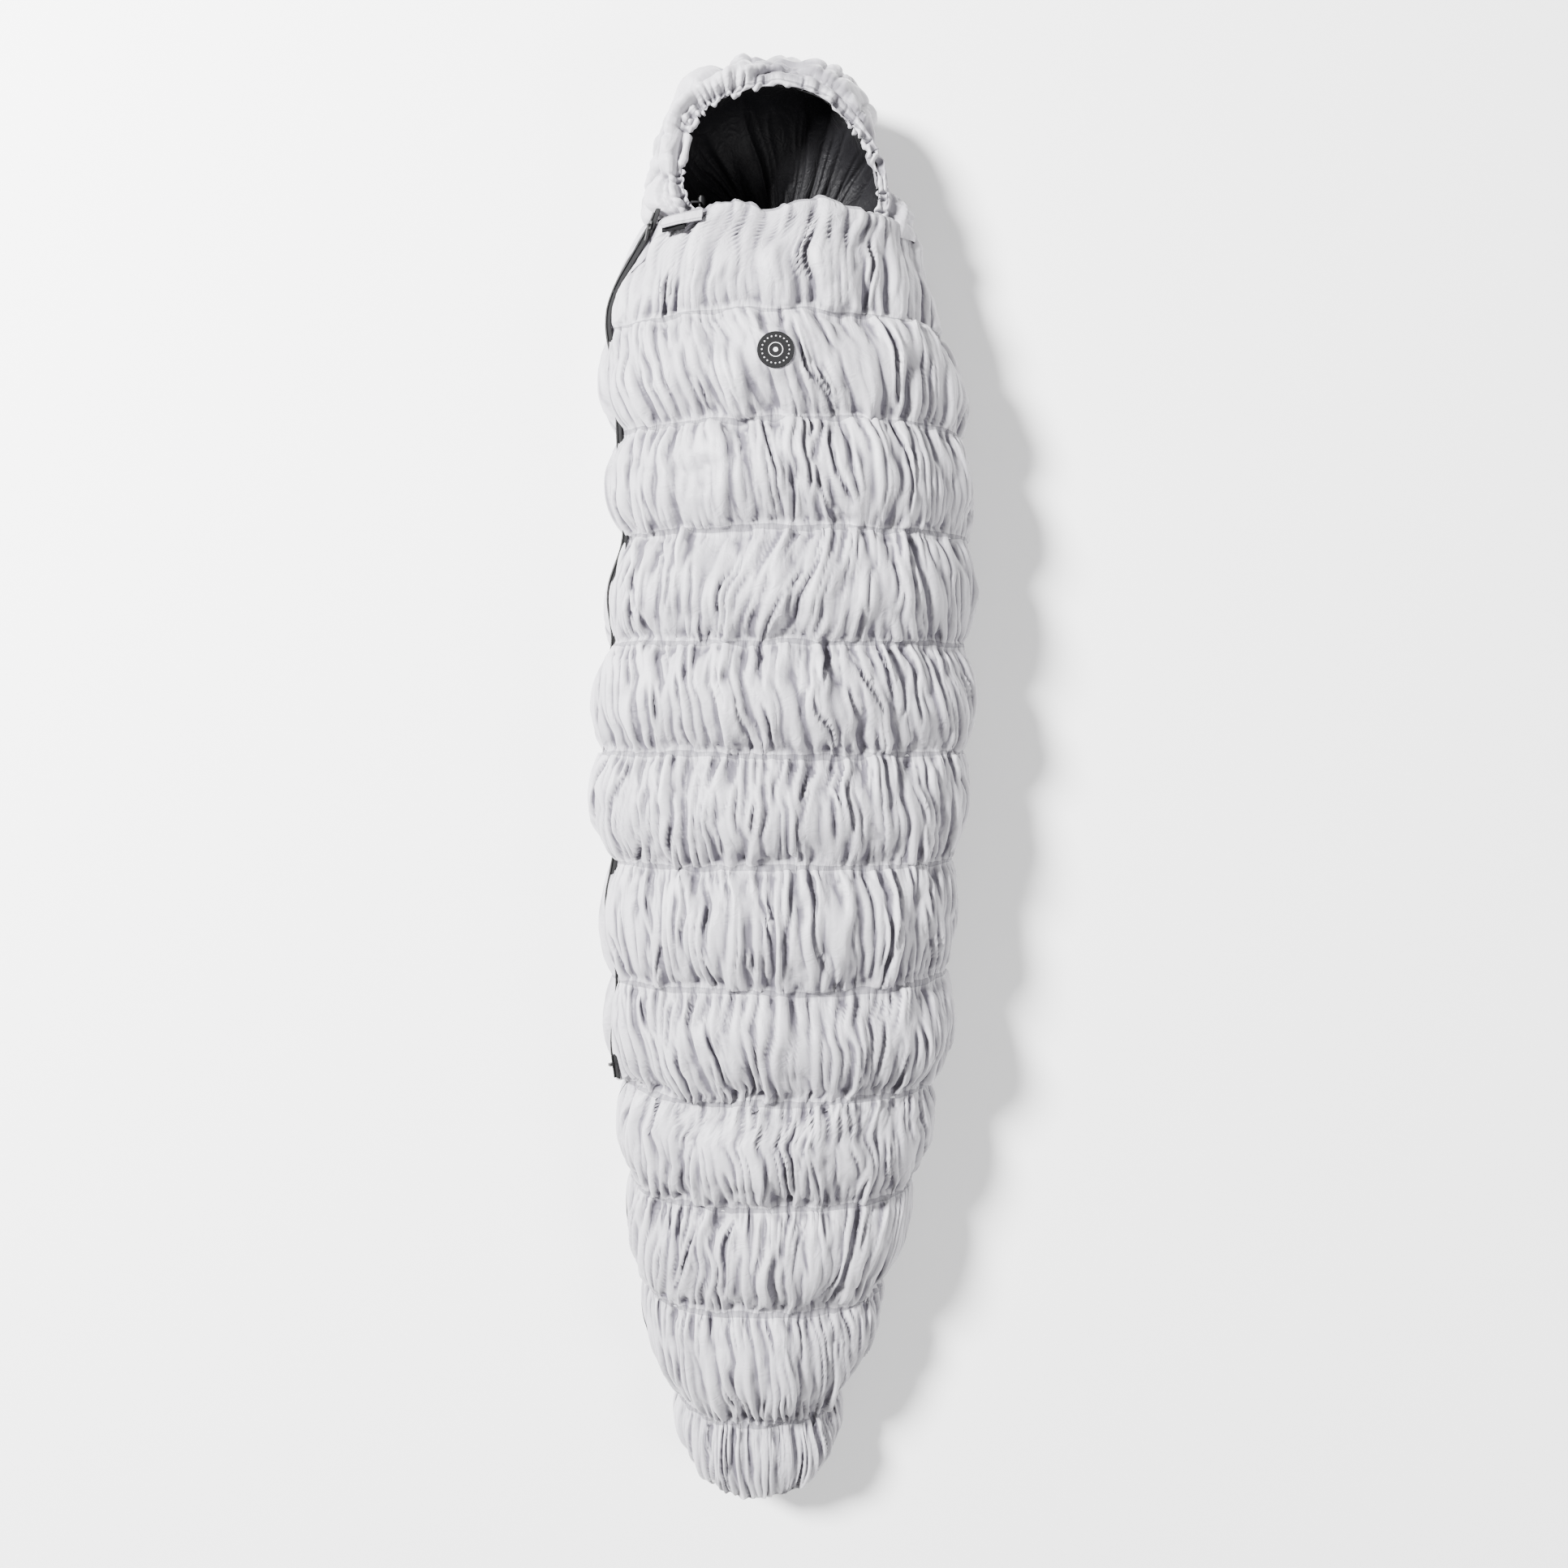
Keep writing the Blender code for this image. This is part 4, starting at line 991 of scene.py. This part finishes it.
def zipFrames(ys):
    x, z = zipPoint(ys)
    line = np.stack([x, ys, z], -1)
    along = np.gradient(line, axis=0)
    along /= np.linalg.norm(along, axis=1)[:, None]
    outward = np.array([-0.88, 0, 0.30]) + 0 * line
    outward -= (outward * along).sum(axis=1)[:, None] * along
    outward /= np.linalg.norm(outward, axis=1)[:, None]
    up = np.cross(along, outward)
    up *= np.sign(up[:, 2:3])
    return line, outward, up


def zipTape(name, side):
    ys = np.linspace(zipper["foot"], zipper["neck"], 420)
    line, outward, up = zipFrames(ys)
    shares = np.linspace(0, 1, 5)
    points = line[:, None] + side * up[:, None] * (0.0012 + zipper["tapeWidth"] * shares)[None, :, None]
    points = points - outward[:, None] * (0.0010 + 0.0030 * shares ** 2)[None, :, None]
    return thicken(clothMesh(name, points, tapeMat), 0.0007)


def zipCoil(name, side):
    top = zipper["neck"] - 0.006
    ys = np.linspace(zipper["foot"], top, int((top - zipper["foot"]) / zipper["toothPitch"] * 3))
    line, outward, up = zipFrames(ys)
    turns = np.linspace(0, 2 * math.pi, 9)
    tooth = 0.72 + 0.28 * np.abs(np.sin(np.arange(len(ys)) * math.pi / 3))
    radius = zipper["coilRadius"] * tooth
    apart = 0.0017 + np.cos(turns) * radius[:, None]
    raised = 0.0006 + np.sin(turns) * radius[:, None] * 0.8
    points = line[:, None] + side * up[:, None] * apart[..., None] + outward[:, None] * raised[..., None]
    return clothMesh(name, points, coilMat, flip=side > 0)


say("zip")
baseTape, coverTape = zipTape("baseTape", -1), zipTape("coverTape", 1)
baseCoil, coverCoil = zipCoil("baseCoil", -1), zipCoil("coverCoil", 1)


# A soft roll of lining behind the zip.
def makeDraftTube():
    ys = np.linspace(-0.40, 0.775, 150)
    line, outward, up = zipFrames(ys)
    turns = np.linspace(0, 2 * math.pi, 17)
    radius = 0.0085 * (1 + 0.10 * smoothNoise(ys, 0, 0.02, 1, 120))
    radius[:3] *= (0.3, 0.7, 0.9)
    radius[-3:] *= (0.9, 0.7, 0.3)
    middle = line - outward * 0.017 - up * 0.006
    ring = up[:, None] * np.cos(turns)[:, None] + outward[:, None] * np.sin(turns)[:, None]
    points = middle[:, None] + ring * radius[:, None, None]
    flat = np.zeros(points.shape[:2])
    uv = np.stack([turns * 0.009 + flat, ys[:, None] + flat], -1)
    return clothMesh("draftTube", points, liningMat, uv, values={"seam": flat + 0.02, "paintedCreaseShade": flat})


draftTube = makeDraftTube()


# The cover folds back about a line from the right of the neck to the foot of the zip.
foldTop, foldFoot = Vector((0.118, 0.7985, 0)), Vector((-0.262, -0.5565, 0))
toCover = Vector((foldFoot.y - foldTop.y, foldTop.x - foldFoot.x, 0)).normalized()
if toCover.x > 0:
    toCover = -toCover
elastic = {"width": 0.006, "thickness": 0.0008, "inside": 0.0065}


# Each seam's elastic lies just inside the shell, on the base's side of the fold line.
def makeElastic(number):
    y = seams[number, 0]
    left = float(leftAngle(np.array(y)))
    angle = np.linspace(left - 2 * math.pi + 0.25, 1.2 if number < 9 else left - 0.1, 90)
    x, z, nx, nz = levelOutline(y, angle)
    seamY = y + seamBow(y, angle) + seamWander(number, angle)
    side = (x - foldTop.x) * toCover.x + (y - foldTop.y) * toCover.y
    keep = (side < -0.004) | (angle < 0) | (number > 8)
    line = np.stack([x - nx * elastic["inside"], seamY, z - nz * elastic["inside"]], -1)[keep]
    points = np.stack([line + (0, across * elastic["width"], 0) for across in (-0.5, -0.2, 0.2, 0.5)])
    return thicken(clothMesh(f"elasticBand{number:02d}", points, elasticMat), elastic["thickness"])


elasticBands = [makeElastic(n) for n in range(1, 12)]


def makeTab():
    cols, rows = 60, 24
    u = np.linspace(0, 1, cols)[None, :] + np.zeros((rows, 1))
    v = np.linspace(-1, 1, rows)[:, None] + 0 * u
    reach = tab["left"] - tab["right"]
    roundEnd = np.sqrt(np.clip(1 - np.clip((u - 0.86) / 0.14, 0, 1) ** 2.2, 0.02, 1))
    half = (tab["high"] - tab["low"]) / 2
    x = tab["right"] + reach * u
    y = (tab["high"] + tab["low"]) / 2 + half * v * roundEnd - tab["slant"] * (u - 0.5)
    crowned = 0.0018 * np.clip(np.cos(v * math.pi / 2), 0, 1) ** 0.5
    z = tabHeight(x, y) + tab["above"] + crowned + 0.0006 * smoothNoise(x, y, 0.012, 0.01, 131)
    points = np.stack([x, y, z], -1)
    uv = np.stack([x, y], -1)
    border = np.minimum((1 - np.abs(v)) * half * roundEnd, np.maximum((1 - u) * abs(reach), 0))
    values = {"seam": np.abs(border - 0.0022), "paintedCreaseShade": 0 * border}
    return thicken(clothMesh("neckTab", points, shellMat, uv, values=values), tab["thickness"])


neckTab = makeTab()
hx, hy = np.meshgrid(np.linspace(-0.168, -0.136, 30), np.linspace(0.762, 0.780, 12))
hookPoints = np.stack([hx, hy - 0.0008, tabHeight(hx, np.maximum(hy, tab["low"])) - 0.0021], -1)
hookStrip = thicken(clothMesh("hookStrip", hookPoints, hookMat), 0.0016)

# Badge print: a plain ring, a middle spot and a circle of dots, raised a little from the rubber.
badge = {
    "ring": 0.0095, "ringWidth": 0.0008, "spot": 0.0032,
    "dots": 20, "dotRadius": 0.0009, "dotCircle": 0.0185,
}


def makeBadgePrint():
    bm = bmesh.new()
    turn = Vector(badgeUp).to_track_quat("Z", "Y").to_matrix().to_4x4()
    for half in (1, -1):
        bmesh.ops.create_circle(bm, segments=96, radius=badge["ring"] + half * badge["ringWidth"] / 2)
    bmesh.ops.bridge_loops(bm, edges=bm.edges[:])
    for n in range(badge["dots"]):
        angle = 2 * math.pi * n / badge["dots"]
        made = bmesh.ops.create_circle(bm, cap_ends=True, segments=14, radius=badge["dotRadius"])["verts"]
        place = Vector((math.cos(angle), math.sin(angle), 0)) * badge["dotCircle"]
        bmesh.ops.translate(bm, verts=made, vec=place)
    bmesh.ops.create_circle(bm, cap_ends=True, segments=40, radius=badge["spot"])
    extruded = bmesh.ops.extrude_face_region(bm, geom=bm.faces[:])["geom"]
    raised = [g for g in extruded if isinstance(g, bmesh.types.BMVert)]
    bmesh.ops.translate(bm, verts=raised, vec=(0, 0, 0.0004))
    top = float(((badgeAt - badgeMiddle) @ badgeUp).max())
    turn.translation = Vector(badgeMiddle + badgeUp * (top - 0.0001))
    bmesh.ops.transform(bm, matrix=turn, verts=bm.verts)
    obj = meshFromBm("badgePrint", bm, printMat)
    for poly in obj.data.polygons:
        poly.use_smooth = False
    return obj


say("badge, cord and small parts")
badgePrint = makeBadgePrint()

# The drawcord's free end leaves the rim at the left and hangs through its lock.
cordData = {
    "diameter": 0.0032,
    "bend": 0.0068,
    "start": (-0.1295, 0.8115, 0.157),
    "hangX": -0.116,  # the lock's middle
    "endZ": 0.0925,
    "knotRadius": 0.0034,
}


def cordPath():
    x, y, z = cordData["start"]
    bend, hangX = cordData["bend"], cordData["hangX"]
    points = [(x + d, y, z) for d in np.linspace(0, hangX - bend - x, 4)]
    for angle in np.linspace(0, math.pi / 2, 9)[1:]:
        points.append((hangX - bend + bend * math.sin(angle), y, z - bend * (1 - math.cos(angle))))
    for low in np.linspace(z - bend, cordData["endZ"], 12)[1:]:
        points.append((hangX, y, low))
    return np.array(points)


def tubeAlong(name, path, radius, mat, sides=16):
    along = np.gradient(path, axis=0)
    along /= np.linalg.norm(along, axis=1)[:, None]
    side = np.cross(along, (0.0, 1.0, 0.0))
    side /= np.linalg.norm(side, axis=1)[:, None]
    other = np.cross(along, side)
    turns = np.linspace(0, 2 * math.pi, sides + 1)
    ring = np.cos(turns)[:, None] * side[:, None] + np.sin(turns)[:, None] * other[:, None]
    points = path[:, None] + radius * ring
    first, last = (np.broadcast_to(end, points[0].shape) for end in (path[0], path[-1]))
    return clothMesh(name, np.array([first, *points, last]), mat)


cordRoute = cordPath()
drawcordTail = tubeAlong("drawcordTail", cordRoute, cordData["diameter"] / 2, cordMat)
knot = bmesh.new()
bmesh.ops.create_uvsphere(knot, u_segments=20, v_segments=14, radius=cordData["knotRadius"])
for v in knot.verts:
    v.co *= 1 + 0.10 * math.sin(math.atan2(v.co.y, v.co.x) * 2 + v.co.z * 900)
knotAt = Vector((cordData["hangX"], cordData["start"][1], cordData["endZ"] - 0.002))
bmesh.ops.translate(knot, verts=knot.verts, vec=knotAt)
cordKnot = meshFromBm("cordKnot", knot, cordMat)

cadLooks = {
    "zip_slider": metalMat, "zip_pull": metalMat, "zip_bottom_stop": metalMat, "zip_top_stop": metalMat,
    "cord_lock_body": plasticMat, "cord_lock_plunger": plasticMat, "badge": rubberMat,
}
for node, mat in cadLooks.items():
    for entry in bpy.data.objects[node].material_slots:
        entry.material = mat

say("studio")
studio = {"floor": (0.97, 0.97, 0.97), "world": 0.54, "key": 2200, "fill": 160}
bm = bmesh.new()
bmesh.ops.create_grid(bm, x_segments=1, y_segments=1, size=20)
bmesh.ops.translate(bm, verts=bm.verts, vec=(0, 0, -floorGap))
meshFromBm("studioFloor", bm, newMaterial("pale floor", studio["floor"], 0.9)[0])

world = bpy.data.worlds.new("studio")
scene.world = world
world.use_nodes = True
world.node_tree.nodes["Background"].inputs[0].default_value = (1, 1, 1, 1)
world.node_tree.nodes["Background"].inputs[1].default_value = studio["world"]


def areaLight(name, place, size, power):
    data = bpy.data.lights.new(name, "AREA")
    data.shape = "DISK"
    data.size = size
    data.energy = power
    light = bpy.data.objects.new(name, data)
    light.location = place
    light.rotation_euler = (Vector((0, 0.1, 0.1)) - Vector(place)).to_track_quat("-Z", "Y").to_euler()
    scene.collection.objects.link(light)


areaLight("key light", (-3.9, 2.3, 3.9), 1.3, studio["key"])
areaLight("fill light", (3.2, -1.4, 3.0), 2.0, studio["fill"])

camera = bpy.data.objects.new("camera", bpy.data.cameras.new("camera"))
scene.collection.objects.link(camera)
camera.location = (0, 0.113, 2.0)
camera.data.lens = 30.32
camera.data.sensor_width = 36
camera.data.shift_y = -0.052
scene.camera = camera

say("joints and nodes")
for obj in (baseShell, baseLining, hoodShell, hoodLining, baseTape, baseCoil, draftTube,
            drawcordTail, cordKnot, *elasticBands):
    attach(obj, "base")
for obj in (coverShell, coverLining, coverTape, coverCoil):
    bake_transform(obj)
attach(badgePrint, "cover")
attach(neckTab, "tab")
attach(hookStrip, "tab")

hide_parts("outer_top_panel", "flap_shell", *[f"flap_fill_{n:02d}" for n in range(1, 9)])
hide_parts("outer_base_panel", "outer_left_panel", "foot_panel",
            *[f"channel_fill_{n:02d}" for n in range(1, 13)])
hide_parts("flap_lining")
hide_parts("inner_lining")
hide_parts("hood_shell", "hood_fill", "hood_hem", "hood_crown_panel")
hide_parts("hood_lining")
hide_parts("zip_tape_base")
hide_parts("zip_tape_flap")
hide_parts("zip_coil_base")
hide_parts("zip_coil_flap")
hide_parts("draft_tube")
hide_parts("hood_drawcord")
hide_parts("neck_tab")
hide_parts("tab_hook_strip")
for number, band in enumerate(elasticBands, 1):
    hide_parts(f"elastic_band_{number:02d}")
